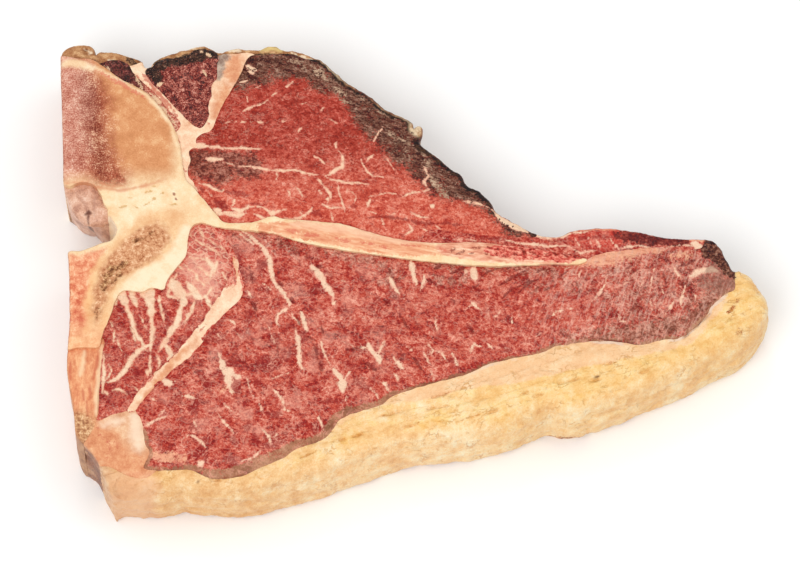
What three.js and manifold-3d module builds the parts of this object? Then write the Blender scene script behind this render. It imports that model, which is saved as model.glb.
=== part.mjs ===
// A raw t-bone steak lying flat on one cut face. Millimetres, +Z up.
// The whole slice is one lofted body with a rounded rim. Every muscle, bone and band of fat is
// cut from that body by its own outline, runs through the full thickness and has its own top
// relief. Pieces that touch are parted by a hairline gap.
import * as THREE from 'three';
import { mergeVertices } from 'three/addons/utils/BufferGeometryUtils.js';
import Module from 'manifold-3d';

// ---- driving sizes ----
const THICKNESS = 36; // between the two cut faces
const GAP = 0.3; // between pieces that touch
const CUT_STEP = 5; // spacing of points along an outline
const GRID = 7; // spacing of the relief grid on the top face
const BONE_PROUD = 1.2; // how far the bone stands above the meat
const CORD_SUNK = 2.2; // how far the spinal cord has sunk into its canal
const BASE_TUCK = 0.62; // base pulled in, as a share of the edge rounding
const SIDE_BULGE = 0.28; // side swell at mid height, as a share of the edge rounding
const HEEL_FLARE = 2.2; // foot of the bone side that spreads at the front left corner

// ---- outer outline, clockwise from the top of the saw cut, one stretch for each kind of edge ----
// round: radius of the top edge along that stretch
const RIM = [
  { edge: 'fat over the backbone', round: 0.9, at: [[-132, 80.5], [-132, 84], [-131, 87], [-128.5, 89],
    [-122, 89.5], [-120, 88], [-119, 85.5], [-117.5, 86.5], [-110.5, 86], [-104.5, 84], [-101.5, 82.5],
    [-100, 80]] },
  { edge: 'dried rim', round: 1.1, at: [[-98.5, 80], [-97, 82.5], [-94.5, 84.5], [-88, 86.5], [-81, 89],
    [-77.5, 89], [-75, 87.5], [-71.5, 86.5], [-66.5, 88], [-57.5, 87.5], [-54, 89], [-51, 89],
    [-47.5, 87.5], [-42.5, 86.5], [-34, 83]] },
  { edge: 'fillet crust', round: 1, at: [[-24.5, 74.5], [-14, 67], [-9.5, 63], [-0.5, 58]] },
  { edge: 'fat tag', round: 0.4, at: [[1, 55], [2.5, 56], [4, 55.5], [4, 52.5], [3, 49.5]] },
  { edge: 'fillet crust', round: 1, at: [[9.5, 43.5], [15, 38.5], [18.5, 36], [21, 32], [25.5, 29.5],
    [28.5, 26.5], [32, 21], [34.5, 19], [42, 14.5]] },
  { edge: 'flank strip', round: 0.8, at: [[47, 12], [51.5, 11], [56, 11.5], [60, 13.5], [71.5, 14.5],
    [83, 13], [95.5, 10.5], [109.5, 10], [111.5, 9.5]] },
  { edge: 'loin crust', round: 1.2, at: [[114.5, 7], [117, 2], [119.5, -2.5]] },
  { edge: 'fat cap end', round: 2.4, at: [[122, -1.5], [125.5, -4], [129, -9], [131.5, -13.5],
    [132, -16.5], [130.5, -21]] },
  { edge: 'fat cap', round: 3.2, at: [[127, -25.5], [121, -30.5], [106, -38.5], [97, -43], [79.5, -50.5],
    [65, -56], [57.5, -57.5], [51, -56], [43.5, -59], [36, -62.5], [27, -65], [5, -68], [-4, -69.5],
    [-22.5, -76.5], [-40.5, -83], [-58.5, -87], [-75, -88.5], [-84, -87], [-92, -88.5], [-106.5, -89]] },
  { edge: 'fascia corner', round: 1, at: [[-109, -89.5], [-110.5, -87], [-114.5, -77.5], [-119.5, -71],
    [-122, -68.5]] },
  { edge: 'ligament', round: 0.6, at: [[-124, -56], [-126.5, -41.5], [-126, -24.5], [-126.5, -6.5]] },
  { edge: 'spinal canal', round: 0.4, at: [[-127, 0.5], [-127, 4.5], [-122, 5], [-116, 7.5], [-111, 9.5],
    [-109.5, 13.5], [-111, 16.5], [-112.5, 17.5], [-116.5, 16.5], [-121, 17], [-124.5, 20], [-127, 23.5],
    [-128.5, 27.5]] },
  { edge: 'saw cut', round: 0.3, at: [[-129.5, 31], [-130, 41.5], [-131, 62]] },
];

// ---- the pieces, in the order in which they claim their ground ----
// lift: height of the piece's edge over the cut face, crown: extra height in its middle
const PIECES = [
  { name: 'spinal_cord', colour: '#b7958c', rough: 0.45, lift: -CORD_SUNK, crown: 1.2,
    at: [[-133, 32.5], [-127, 31], [-125, 32], [-119.5, 32], [-115.5, 27.5], [-114.5, 24], [-113, 21.5],
      [-114, 15], [-132.5, 16]] },
  { name: 'backbone', colour: '#dba877', rough: 0.6, lift: BONE_PROUD, crown: 0, grid: 5.5,
    at: [[-135.5, 83], [-125.5, 83], [-120, 82.5], [-110.5, 75.5], [-98.5, 68], [-88, 52.5], [-84, 33.5],
      [-81.5, 30.5], [-72.5, 19.5], [-70, 16.5], [-60, 16], [-51.5, 18.5], [-47, 17.5], [-26.5, 15.5],
      [-9.5, 10.5], [5, 8], [25, 8], [57, 3.5], [65, 1], [62.5, -0.5], [55, -0.5], [22, -1], [-39.5, 8],
      [-52.5, 12], [-70.5, 14], [-78.5, 16], [-81, 15], [-82.5, 12], [-83.5, 3.5], [-90, -6.5],
      [-91.5, -10.5], [-96, -10], [-99.5, -11.5], [-107, -11.5], [-111, -21], [-114, -29.5],
      [-115, -33.5], [-120.5, -33.5], [-132, -33]] },
  { name: 'neck_ligament', colour: '#d9a06a', rough: 0.5, lift: -0.6, crown: 0.6,
    at: [[-132.5, -26.5], [-120.5, -26.5], [-113, -30.5], [-113.5, -35.5], [-114.5, -50],
      [-115, -61.5], [-122.5, -73.5], [-131, -73.5]] },
  { name: 'crus_muscle', colour: '#6f2a28', rough: 0.5, lift: -0.6, crown: 0.6,
    at: [[-118.5, 80.5], [-112.5, 83], [-107, 81.5], [-104.5, 77.5], [-95.5, 68.5], [-92, 63.5],
      [-87, 58], [-86.5, 55.5], [-90.5, 52], [-96, 61], [-104, 69], [-115, 77]] },
  { name: 'psoas_minor', colour: '#5b2222', rough: 0.5, lift: -0.2, crown: 1,
    at: [[-100, 78], [-97, 80.5], [-94, 83], [-85, 84.5], [-82, 86.5], [-74.5, 86.5], [-72.5, 84],
      [-73, 80.5], [-73, 75.5], [-75, 72.5], [-75, 68], [-76, 64], [-76, 59.5], [-79, 55],
      [-93, 68.5]] },
  { name: 'tenderloin', colour: '#a83a36', rough: 0.45, lift: -0.5, crown: 1.4,
    at: [[-60.5, 84.5], [-55.5, 85], [-45.5, 85.5], [-37.5, 83], [-32, 84], [-10, 70], [8, 60], [22, 42],
      [32, 30], [45, 15.5], [46.5, 11], [40.5, 10.5], [35, 11], [16.5, 12.5], [7, 13.5], [-4, 5.5],
      [-30, 11.5], [-68, 16], [-72.5, 20.5], [-78.5, 26], [-78.5, 29], [-80, 32.5], [-83, 35],
      [-83.5, 38.5], [-82.5, 41.5], [-83, 45.5], [-80.5, 47.5], [-80.5, 50], [-78.5, 52.5],
      [-75.5, 53.5], [-71.5, 62.5], [-65, 75.5]] },
  { name: 'flank_strip', colour: '#a2453c', rough: 0.45, lift: -0.6, crown: 0.9,
    at: [[-3, 8], [0, 15], [8, 18], [16, 16], [35, 14.5], [45, 16], [60, 18], [85, 17], [108, 13.5],
      [108.5, 7.5], [104.5, 5.5], [90.5, 6.5], [69.5, 3.5], [62.5, 0.5], [25.5, 3.5], [7, 5.5]] },
  { name: 'loin_seam_fat', colour: '#eec29c', rough: 0.5, lift: -0.4, crown: 0.2,
    at: [[-72.5, 14.5], [-65, 3.5], [-63.5, -2.5], [-62, -8.5], [-63, -13.5], [-71.5, -23],
      [-81.5, -37.5], [-86.5, -41], [-99, -55], [-101.5, -58.5], [-104, -58.5], [-95, -44],
      [-86.5, -35.5], [-70.5, -11.5], [-66.5, -2], [-70.5, 9], [-74.5, 14]] },
  { name: 'multifidus', colour: '#b14a41', rough: 0.45, lift: -0.4, crown: 1.1,
    at: [[-115.5, -30.5], [-118.5, -14.5], [-100.5, 9.5], [-84, 21.5], [-72.5, 16.5], [-65.5, 0.5],
      [-66, -10.5], [-76, -23.5], [-91, -42.5], [-103, -57.5], [-109.5, -60], [-115, -62]] },
  { name: 'strip_loin', colour: '#a54640', rough: 0.45, lift: -0.5, crown: 1.2,
    at: [[-74.5, 12.5], [-65.5, 17.5], [3.5, 7.5], [40.5, 5.5], [70, 7], [88.5, 9.5], [107, 7.5],
      [109, 16], [118, 12], [122, 0.5], [120, -3.5], [119.5, -10.5], [116.5, -12], [111, -17],
      [109, -20.5], [99, -29.5], [94.5, -30], [83.5, -32.5], [78.5, -31.5], [67.5, -31], [53.5, -33],
      [47.5, -35.5], [29, -40], [22.5, -43], [-7.5, -53], [-11.5, -56], [-25.5, -61.5], [-31.5, -69],
      [-41.5, -73], [-46.5, -76.5], [-56.5, -81], [-61.5, -83.5], [-71.5, -84.5], [-76, -83.5],
      [-80, -81.5], [-92, -81.5], [-97.5, -80.5], [-95.5, -74.5], [-97, -71.5], [-99, -61],
      [-101, -57.5], [-72.5, -18.5], [-69, -6.5], [-70, 5.5]] },
  { name: 'fascia_corner', colour: '#e3aa78', rough: 0.5, lift: -0.3, crown: 0.6,
    at: [[-117.5, -56], [-99.5, -52], [-95.5, -69.5], [-91.5, -77.5], [-95, -83.5], [-102.5, -83.5],
      [-111, -80], [-117, -79], [-124.5, -73.5], [-124.5, -69], [-119.5, -66]] },
  { name: 'fillet_seam_fat', colour: '#ecbf9c', rough: 0.5, lift: -0.3, crown: 0.2,
    at: [[-109, 79.5], [-105, 80.5], [-101.2, 82], [-98.6, 82.5], [-95, 77], [-80, 60], [-76, 63],
      [-73, 84], [-66, 85.5], [-59, 85], [-63, 72.5], [-76, 46], [-75.5, 25.5], [-66.5, 14],
      [-78.5, 18], [-87, 33.5], [-92, 52], [-99, 65.5], [-105.5, 70.5]] },
  { name: 'backbone_fat', colour: '#c99a70', rough: 0.6, lift: -0.8, crown: 0.5,
    at: [[-137, 74], [-137, 93], [-112, 93], [-101.5, 88], [-100.2, 79.8], [-104, 76], [-120, 76]] },
  { name: 'dried_rim', colour: '#9d7a5b', rough: 0.6, lift: -0.8, crown: 0.4,
    at: [[-99.4, 79], [-100, 92], [-78, 95], [-50, 95], [-36, 90], [-33, 83.2], [-40, 79], [-60, 80],
      [-85, 80]] },
  { name: 'fat_cap', colour: '#efc88a', rough: 0.5, lift: -0.2, crown: 0.5,
    at: [[-117, -77], [-125, -100], [0, -100], [140, -60], [140, 4], [119.8, 0], [112, -10], [95, -24],
      [50, -28], [-20, -50], [-60, -76], [-97, -72]] },
];

const wasm = await Module();
wasm.setup();

// ---- outlines ----

// points along a closed smooth curve; a third number on a control point is carried along
function smoothLoop(control, step) {
  const ends = control.map(([x, y, extra = 0]) => new THREE.Vector3(x, y, extra));
  const curve = new THREE.CatmullRomCurve3(ends, true, 'centripetal');
  const loop = [];
  ends.forEach((end, i) => {
    const next = ends[(i + 1) % ends.length];
    const n = Math.max(1, Math.round(Math.hypot(next.x - end.x, next.y - end.y) / step));
    for (let k = 0; k < n; k++) {
      loop.push(curve.getPoint((i + k / n) / ends.length));
    }
  });
  const flat = loop.map((p) => new THREE.Vector2(p.x, p.y));
  return THREE.ShapeUtils.isClockWise(flat) ? loop.reverse() : loop;
}

// unit vectors that point out of a counter-clockwise loop
function outward(loop) {
  return loop.map((_, i) => {
    const before = loop[(i + loop.length - 1) % loop.length];
    const after = loop[(i + 1) % loop.length];
    const along = new THREE.Vector2(after.x - before.x, after.y - before.y).normalize();
    return new THREE.Vector2(along.y, -along.x);
  });
}

function grown(loop, by) {
  const out = outward(loop);
  return loop.map((p, i) => new THREE.Vector3(p.x + out[i].x * by, p.y + out[i].y * by, p.z));
}

function distanceToLoop(x, y, loop) {
  let best = Infinity;
  loop.forEach((a, i) => {
    const b = loop[(i + 1) % loop.length];
    const ex = b.x - a.x;
    const ey = b.y - a.y;
    const share = ((x - a.x) * ex + (y - a.y) * ey) / (ex * ex + ey * ey);
    const t = THREE.MathUtils.clamp(share, 0, 1);
    best = Math.min(best, Math.hypot(x - a.x - ex * t, y - a.y - ey * t));
  });
  return best;
}

// ---- solids ----

function solid(geometry) {
  const plain = geometry.clone();
  plain.deleteAttribute('normal');
  plain.deleteAttribute('uv');
  const merged = mergeVertices(plain, 1e-4);
  return new wasm.Manifold(new wasm.Mesh({
    numProp: 3,
    vertProperties: new Float32Array(merged.attributes.position.array),
    triVerts: new Uint32Array(merged.index.array),
  }));
}

// a straight cutter with the loop as its section, taller than the steak at both ends
function cutter(loop) {
  const shape = new THREE.Shape(loop.map((p) => new THREE.Vector2(p.x, p.y)));
  const prism = new THREE.ExtrudeGeometry(shape, { depth: 2 * THICKNESS, bevelEnabled: false });
  prism.translate(0, 0, -THICKNESS / 2);
  return solid(prism);
}

// a slab under a relief surface, over the ground of one loop
function reliefSlab(loop, step, height) {
  const box = new THREE.Box3().setFromPoints(loop.map((p) => new THREE.Vector3(p.x, p.y, 0)));
  const wide = box.max.x - box.min.x + 8;
  const deep = box.max.y - box.min.y + 8;
  const slab = new THREE.BoxGeometry(wide, deep, 2, Math.ceil(wide / step), Math.ceil(deep / step), 1);
  slab.translate((box.min.x + box.max.x) / 2, (box.min.y + box.max.y) / 2, 0);
  const at = slab.attributes.position;
  for (let i = 0; i < at.count; i++) {
    at.setZ(i, at.getZ(i) > 0 ? height(at.getX(i), at.getY(i)) : -5);
  }
  return solid(slab);
}

// how far the side stands inside the outline at one height; round is the local edge rounding
function sideInset(z, round) {
  const tuck = BASE_TUCK * round * Math.max(0, 1 - z / 5) ** 2;
  const swell = SIDE_BULGE * round * Math.sin(Math.PI * THREE.MathUtils.clamp((z - 4) / 27, 0, 1));
  const over = Math.max(0, Math.min(z, THICKNESS) - (THICKNESS - round));
  return tuck - swell + round - Math.sqrt(Math.max(0, round * round - over * over));
}

// the whole slice: rings of the outer outline, one above the other, closed at both ends
function wholeSlice() {
  const control = RIM.flatMap((part) => part.at.map(([x, y]) => [x, y, part.round]));
  const loop = smoothLoop(control, CUT_STEP);
  const out = outward(loop);
  const heights = [0, 1.6, 5, 14, 24, 31, 34.4, THICKNESS, THICKNESS + 8];
  const n = loop.length;
  const points = [];
  for (const z of heights) {
    loop.forEach((p, i) => {
      const lump = 0.11 * p.z * Math.sin(0.19 * p.x + 0.23 * z) * Math.cos(0.15 * p.y + 0.31 * z);
      const by = lump - sideInset(z, p.z);
      const heel = THREE.MathUtils.smoothstep(-p.x, 117, 123) * THREE.MathUtils.smoothstep(-p.y, 58, 68);
      const drop = HEEL_FLARE * heel * (1 - Math.min(z, THICKNESS) / THICKNESS);
      points.push(p.x + out[i].x * by, p.y + out[i].y * by - drop, z);
    });
  }
  const faces = [];
  for (let level = 0; level < heights.length - 1; level++) {
    for (let i = 0; i < n; i++) {
      const a = level * n + i;
      const b = level * n + (i + 1) % n;
      faces.push(a, b, b + n, a, b + n, a + n);
    }
  }
  const ringAt = (level) => loop.map((_, i) => {
    const k = 3 * (level * n + i);
    return new THREE.Vector2(points[k], points[k + 1]);
  });
  const top = (heights.length - 1) * n;
  for (const [a, b, c] of THREE.ShapeUtils.triangulateShape(ringAt(0), [])) {
    faces.push(a, c, b);
  }
  for (const [a, b, c] of THREE.ShapeUtils.triangulateShape(ringAt(heights.length - 1), [])) {
    faces.push(top + a, top + b, top + c);
  }
  const slice = new THREE.BufferGeometry();
  slice.setAttribute('position', new THREE.Float32BufferAttribute(points, 3));
  slice.setIndex(faces);
  return solid(slice);
}

// ---- top relief ----

// a soft round dent or swelling
function spot(x, y, cx, cy, radius) {
  return Math.exp(-((x - cx) ** 2 + (y - cy) ** 2) / (radius * radius));
}

// relief that belongs to one kind of tissue
const DETAIL = {
  backbone: (x, y) => 0.15 * Math.sin(0.31 * x) * Math.sin(0.27 * y)
    - 1.8 * spot(x, y, -110.5, -2, 6.5) - 1.1 * spot(x, y, -117, -16, 5),
  tenderloin: (x, y) => 0.3 * Math.sin(0.08 * x + 0.22 * y) * Math.sin(0.05 * x - 0.09 * y)
    - 0.8 * spot(x, y, 22, 18, 9) - 0.5 * spot(x, y, -60, 72, 10),
  strip_loin: (x, y) => 0.4 * Math.sin(0.16 * x - 0.11 * y) * Math.sin(0.07 * x + 0.17 * y)
    - 0.7 * spot(x, y, 24, -36, 8) - 0.6 * spot(x, y, -28, -42, 7),
  multifidus: (x, y) => 0.5 * Math.sin(0.24 * x + 0.1 * y) * Math.cos(0.09 * x - 0.12 * y),
  fat_cap: (x, y) => 0.3 * Math.sin(0.06 * x + 0.42 * y) * Math.sin(0.045 * x - 0.08 * y + 1),
  fascia_corner: (x, y) => 0.35 * Math.sin(0.22 * x + 0.2 * y),
  flank_strip: (x) => 0.25 * Math.sin(0.17 * x),
};

function topHeight(piece, loop) {
  const detail = DETAIL[piece.name] ?? (() => 0);
  return (x, y) => {
    const middle = 1 - Math.exp(-distanceToLoop(x, y, loop) / 5);
    return THICKNESS + piece.lift + piece.crown * middle + detail(x, y);
  };
}

// ---- the steak ----

function mesh(piece, body) {
  const cut = body.getMesh();
  const geometry = new THREE.BufferGeometry();
  geometry.setAttribute('position', new THREE.Float32BufferAttribute(cut.vertProperties, 3));
  geometry.setIndex([...cut.triVerts]);
  geometry.computeVertexNormals();
  const material = new THREE.MeshStandardMaterial({
    color: piece.colour,
    roughness: piece.rough,
    metalness: 0,
  });
  const made = new THREE.Mesh(geometry, material);
  made.name = piece.name;
  return made;
}

// what is left of a piece after its neighbours, without the crumbs that a shallow cut leaves
function mainBody(body) {
  const parts = body.decompose();
  return parts.reduce((big, part) => (part.volume() > big.volume() ? part : big));
}

function steak() {
  const group = new THREE.Group();
  group.name = 'tbone_steak';
  const slice = wholeSlice();
  const taken = [];
  for (const piece of PIECES) {
    const loop = smoothLoop(piece.at, CUT_STEP);
    const slab = reliefSlab(loop, piece.grid ?? GRID, topHeight(piece, loop));
    let body = slice.intersect(cutter(loop)).intersect(slab);
    for (const neighbour of taken) {
      body = body.subtract(neighbour);
    }
    group.add(mesh(piece, mainBody(body)));
    taken.push(cutter(grown(loop, GAP)));
  }
  const box = new THREE.Box3().setFromObject(group);
  const centre = box.getCenter(new THREE.Vector3());
  for (const child of group.children) {
    child.geometry.translate(-centre.x, -centre.y, -box.min.z);
  }
  return group;
}

export default steak();
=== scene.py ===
"""A raw t-bone steak on its lower cut face, dressed over its solids.

Lengths of the meat are written in millimetres on the cut face, x along the strip loin and y from the
fat cap to the fillet, and turned into metres when a piece becomes a mesh. The marks on a piece, its veins
and stains, are runs in steps of half a millimetre: x and y of the first point, then how far on each next
point lies.
"""
import math

import bpy
import numpy as np
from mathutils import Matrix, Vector
from mathutils.geometry import delaunay_2d_cdt
from mathutils.kdtree import KDTree


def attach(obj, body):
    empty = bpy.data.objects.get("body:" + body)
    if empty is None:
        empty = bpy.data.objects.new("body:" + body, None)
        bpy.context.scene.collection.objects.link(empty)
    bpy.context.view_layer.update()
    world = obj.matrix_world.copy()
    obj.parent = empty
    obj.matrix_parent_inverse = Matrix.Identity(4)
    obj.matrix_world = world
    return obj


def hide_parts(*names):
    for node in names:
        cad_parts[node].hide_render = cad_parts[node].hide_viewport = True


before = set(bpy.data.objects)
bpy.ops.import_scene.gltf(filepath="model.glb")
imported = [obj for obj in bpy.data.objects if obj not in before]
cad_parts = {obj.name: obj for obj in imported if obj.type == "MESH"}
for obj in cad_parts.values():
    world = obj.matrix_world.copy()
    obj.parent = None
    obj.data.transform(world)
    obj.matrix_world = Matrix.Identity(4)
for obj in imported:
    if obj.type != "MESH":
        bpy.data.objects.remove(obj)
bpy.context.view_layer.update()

# ---- view, floor and light ----
# The steak is seen from above and a little from the fat cap's side, through a long lens, on a plain
# pale floor in soft light from all round.
MM = 0.001
THICKNESS = 36.0
VIEW_ELEVATION = math.radians(68)
VIEW_DISTANCE = 1.8
VIEW_WIDTH = 0.296  # what the frame takes in at the upper cut face
aim = Vector((-4.1 * MM, -7.7 * MM, THICKNESS * MM))
lens_side = Vector((0, -math.cos(VIEW_ELEVATION), math.sin(VIEW_ELEVATION)))

camera_data = bpy.data.cameras.new("view")
camera_data.sensor_width = 36
camera_data.lens = camera_data.sensor_width * VIEW_DISTANCE / VIEW_WIDTH
camera = bpy.data.objects.new("view", camera_data)
camera.location = aim + lens_side * VIEW_DISTANCE
camera.rotation_euler = (math.pi / 2 - VIEW_ELEVATION, 0, 0)
bpy.context.scene.collection.objects.link(camera)
bpy.context.scene.camera = camera

floor_mesh = bpy.data.meshes.new("floor")
floor_mesh.from_pydata([(-3, -3, 0), (3, -3, 0), (3, 3, 0), (-3, 3, 0)], [], [(0, 1, 2, 3)])
floor = bpy.data.objects.new("floor", floor_mesh)
bpy.context.scene.collection.objects.link(floor)
floor_paper = bpy.data.materials.new("floor_paper")
floor_paper.use_nodes = True
floor_paper.node_tree.nodes["Principled BSDF"].inputs["Base Color"].default_value = (0.93, 0.93, 0.925, 1)
floor_paper.node_tree.nodes["Principled BSDF"].inputs["Roughness"].default_value = 0.9
floor_mesh.materials.append(floor_paper)

sky = bpy.data.worlds.new("soft_box")
sky.use_nodes = True
sky.node_tree.nodes["Background"].inputs["Color"].default_value = (1, 0.995, 0.985, 1)
sky.node_tree.nodes["Background"].inputs["Strength"].default_value = 0.8
bpy.context.scene.world = sky


def soft_lamp(name, place, power, size):
    lamp_data = bpy.data.lights.new(name, "AREA")
    lamp_data.energy = power
    lamp_data.size = size
    lamp = bpy.data.objects.new(name, lamp_data)
    lamp.location = place
    lamp.rotation_euler = Vector(place).to_track_quat("Z", "Y").to_euler()
    bpy.context.scene.collection.objects.link(lamp)


soft_lamp("window", (-0.45, -0.8, 1.5), 12, 0.9)
soft_lamp("fill", (0.8, 0.2, 1.6), 3.5, 1.0)
soft_lamp("glint", (-0.15, 0.75, 1.7), 1.6, 0.3)
bpy.context.scene.view_settings.view_transform = "Standard"

# ---- the slice ----
# One thick slice, sawn through bone and cut through meat. Every piece is cut from it by its own
# outline and runs from the upper cut face to the lower one, and what an earlier piece holds, a later
# one leaves out. RIM is the outline of the whole slice, one stretch for each kind of edge: round is
# the radius of its upper edge and ragged is how far the edge strays from a smooth line.
TOP_SPACING = 0.45
BASE_SPACING = 1.0
OUTLINE_STEP = 0.6
SIDE_ROWS = 32
BASE_TUCK = 0.62
TUCK_HEIGHT = 5
SIDE_BULGE = 0.28
BULGE_FOOT = 4
BULGE_HEIGHT = 27
SIDE_STRAY = 0.11
WIDEST_SWING = 3.2
HEEL_FLARE = 2.2
EASING = 80
SHARPEST_ROUND = 0.2
RIM = [
    dict(edge="fat over the backbone", round=0.9, ragged=0.25, at=[
        (-132, 80.5), (-132, 84), (-131, 87), (-128.5, 89), (-122, 89.5), (-120, 88), (-119, 85.5),
        (-117.5, 86.5), (-110.5, 86), (-104.5, 84), (-101.5, 82.5), (-100, 80)]),
    dict(edge="dried rim", round=1.1, ragged=0.4, at=[
        (-98.5, 80), (-97, 82.5), (-94.5, 84.5), (-88, 86.5), (-81, 89), (-77.5, 89), (-75, 87.5),
        (-71.5, 86.5), (-66.5, 88), (-57.5, 87.5), (-54, 89), (-51, 89), (-47.5, 87.5), (-42.5, 86.5),
        (-34, 83)]),
    dict(edge="fillet crust", round=1.0, ragged=0.35, at=[(-24.5, 74.5), (-14, 67), (-9.5, 63), (-0.5, 58)]),
    dict(edge="fat tag", round=0.4, ragged=0.1, at=[(1, 55), (2.5, 56), (4, 55.5), (4, 52.5), (3, 49.5)]),
    dict(edge="fillet crust", round=1.0, ragged=0.35, at=[
        (9.5, 43.5), (15, 38.5), (18.5, 36), (21, 32), (25.5, 29.5), (28.5, 26.5), (32, 21),
        (34.5, 19), (42, 14.5)]),
    dict(edge="flank strip", round=0.8, ragged=0.25, at=[
        (47, 12), (51.5, 11), (56, 11.5), (60, 13.5), (71.5, 14.5), (83, 13), (95.5, 10.5),
        (109.5, 10), (111.5, 9.5)]),
    dict(edge="loin crust", round=1.2, ragged=0.4, at=[(114.5, 7), (117, 2), (119.5, -2.5)]),
    dict(edge="fat cap end", round=5.0, ragged=0.55, at=[
        (122, -1.5), (125.5, -4), (129, -9), (131.5, -13.5), (132, -16.5), (130.5, -21)]),
    dict(edge="fat cap", round=7.0, ragged=0.35, at=[
        (127, -25.5), (121, -30.5), (106, -38.5), (97, -43), (79.5, -50.5), (65, -56), (57.5, -57.5),
        (51, -56), (43.5, -59), (36, -62.5), (27, -65), (5, -68), (-4, -69.5), (-22.5, -76.5),
        (-40.5, -83), (-58.5, -87), (-75, -88.5), (-84, -87), (-92, -88.5), (-106.5, -89)]),
    dict(edge="fascia corner", round=1.0, ragged=0.2, at=[
        (-109, -89.5), (-110.5, -87), (-114.5, -77.5), (-119.5, -71), (-122, -68.5)]),
    dict(edge="ligament", round=0.6, ragged=0.15, at=[
        (-124, -56), (-126.5, -41.5), (-126, -24.5), (-126.5, -6.5)]),
    dict(edge="spinal canal", round=0.4, ragged=0.1, at=[
        (-127, 0.5), (-127, 4.5), (-122, 5), (-116, 7.5), (-111, 9.5), (-109.5, 13.5), (-111, 16.5)]),
    dict(edge="cord", round=2.4, ragged=0.1, at=[
        (-112.5, 17.5), (-116.5, 16.5), (-121, 17), (-124.5, 20), (-127, 23.5), (-128.5, 27.5)]),
    dict(edge="saw cut", round=0.3, ragged=0.08, at=[(-129.5, 31), (-130, 41.5), (-131, 62)]),
]


def smooth_loop(control, step):
    """Points every step along a closed curve through the control points, counter-clockwise."""
    control = np.array(control, float)
    bent = []
    for i in range(len(control)):
        before, start, end, after = (control[(i + k) % len(control)] for k in (-1, 0, 1, 2))
        gaps = [math.sqrt(math.dist(a[:2], b[:2])) for a, b in ((before, start), (start, end), (end, after))]
        leave = (start - before) / gaps[0] - (end - before) / (gaps[0] + gaps[1]) + (end - start) / gaps[1]
        arrive = (end - start) / gaps[1] - (after - start) / (gaps[1] + gaps[2]) + (after - end) / gaps[2]
        count = max(1, round(math.dist(start[:2], end[:2]) / step))
        t = (np.arange(count) / count)[:, None]
        bent.append((2 * t**3 - 3 * t**2 + 1) * start + (t**3 - 2 * t**2 + t) * leave * gaps[1]
                    + (3 * t**2 - 2 * t**3) * end + (t**3 - t**2) * arrive * gaps[1])
    loop = np.concatenate(bent)
    x, y = loop[:, 0], loop[:, 1]
    area = np.sum(x * np.roll(y, -1) - np.roll(x, -1) * y)
    return loop if area > 0 else loop[::-1].copy()


def outward(loop):
    along = np.roll(loop[:, :2], -1, axis=0) - np.roll(loop[:, :2], 1, axis=0)
    along /= np.linalg.norm(along, axis=1, keepdims=True)
    return np.stack([along[:, 1], -along[:, 0]], axis=1)


def lumps(points, size, seed):
    """Smooth random lumps of about that size in mm, between -1 and 1."""
    points = np.asarray(points, float) / size
    cell = np.floor(points).astype(np.int64)
    part = points - cell
    part = part * part * part * (part * (part * 6 - 15) + 10)
    total = np.zeros(len(points))
    for corner in range(2 ** points.shape[1]):
        step = np.array([(corner >> axis) & 1 for axis in range(points.shape[1])])
        at = cell + step
        mixed = seed * 374761393 + at[:, 0] * 668265263 + at[:, 1] * 2147483647
        if points.shape[1] > 2:
            mixed = mixed + at[:, 2] * 1274126177
        mixed = mixed & 0xFFFFFFFF
        mixed = (mixed ^ (mixed >> 13)) * 1103515245 & 0xFFFFFFFF
        mixed = (mixed ^ (mixed >> 16)) * 2246822519 & 0xFFFFFFFF
        value = ((mixed ^ (mixed >> 13)) & 0xFFFFF) / 0x7FFFF - 1
        total += value * np.prod(np.where(step, part, 1 - part), axis=1)
    return total


def rough(points, size, seed, layers=3):
    """Lumps of several sizes, each half the one before."""
    return sum(lumps(points, size / 2**k, seed + k) / 2**k for k in range(layers)) / 1.5


def soft_step(value, low, high):
    t = np.clip((value - low) / (high - low), 0, 1)
    return t * t * (3 - 2 * t)


rim = smooth_loop([(x, y, stretch["round"], stretch["ragged"]) for stretch in RIM for x, y in stretch["at"]],
                  OUTLINE_STEP)
rim[:, :2] += outward(rim) * (rim[:, 3] * rough(rim[:, :2], 3.0, 5))[:, None]
rim_out = outward(rim)


def nearest_on(loop, points):
    """For each point the distance to a loop, the segment it is nearest to and the share along it."""
    tree = KDTree(len(loop))
    for i, p in enumerate(loop):
        tree.insert((p[0], p[1], 0), i)
    tree.balance()
    corner = np.array([tree.find((p[0], p[1], 0))[1] for p in points], int).reshape(-1)
    best = [np.full(len(points), np.inf), corner.copy(), np.zeros(len(points))]
    for segment in ((corner - 1) % len(loop), corner):
        start = loop[segment, :2]
        step = loop[(segment + 1) % len(loop), :2] - start
        t = ((points[:, :2] - start) * step).sum(1) / np.maximum((step**2).sum(1), 1e-12)
        t = np.clip(t, 0, 1)
        gap = np.linalg.norm(points[:, :2] - start - t[:, None] * step, axis=1)
        nearer = gap < best[0]
        for kept, found in zip(best, (gap, segment, t)):
            kept[nearer] = found[nearer]
    return best


def honeycomb(loop, spacing):
    """Evenly spread points inside a loop, in staggered rows."""
    x, y = loop[:, 0], loop[:, 1]
    next_x, next_y = np.roll(x, -1), np.roll(y, -1)
    rows = []
    for number, row in enumerate(np.arange(y.min() + 0.01, y.max(), spacing * math.sqrt(0.75))):
        crosses = (y > row) != (next_y > row)
        at = x[crosses] + (row - y[crosses]) * (next_x - x)[crosses] / (next_y - y)[crosses]
        start = (number % 2) * spacing / 2
        for low, high in np.sort(at).reshape(-1, 2):
            first = math.ceil((low - start) / spacing)
            columns = start + spacing * np.arange(first, (high - start) / spacing)
            rows.append(np.column_stack([columns, np.full(len(columns), row)]))
    return np.concatenate(rows)


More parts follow.
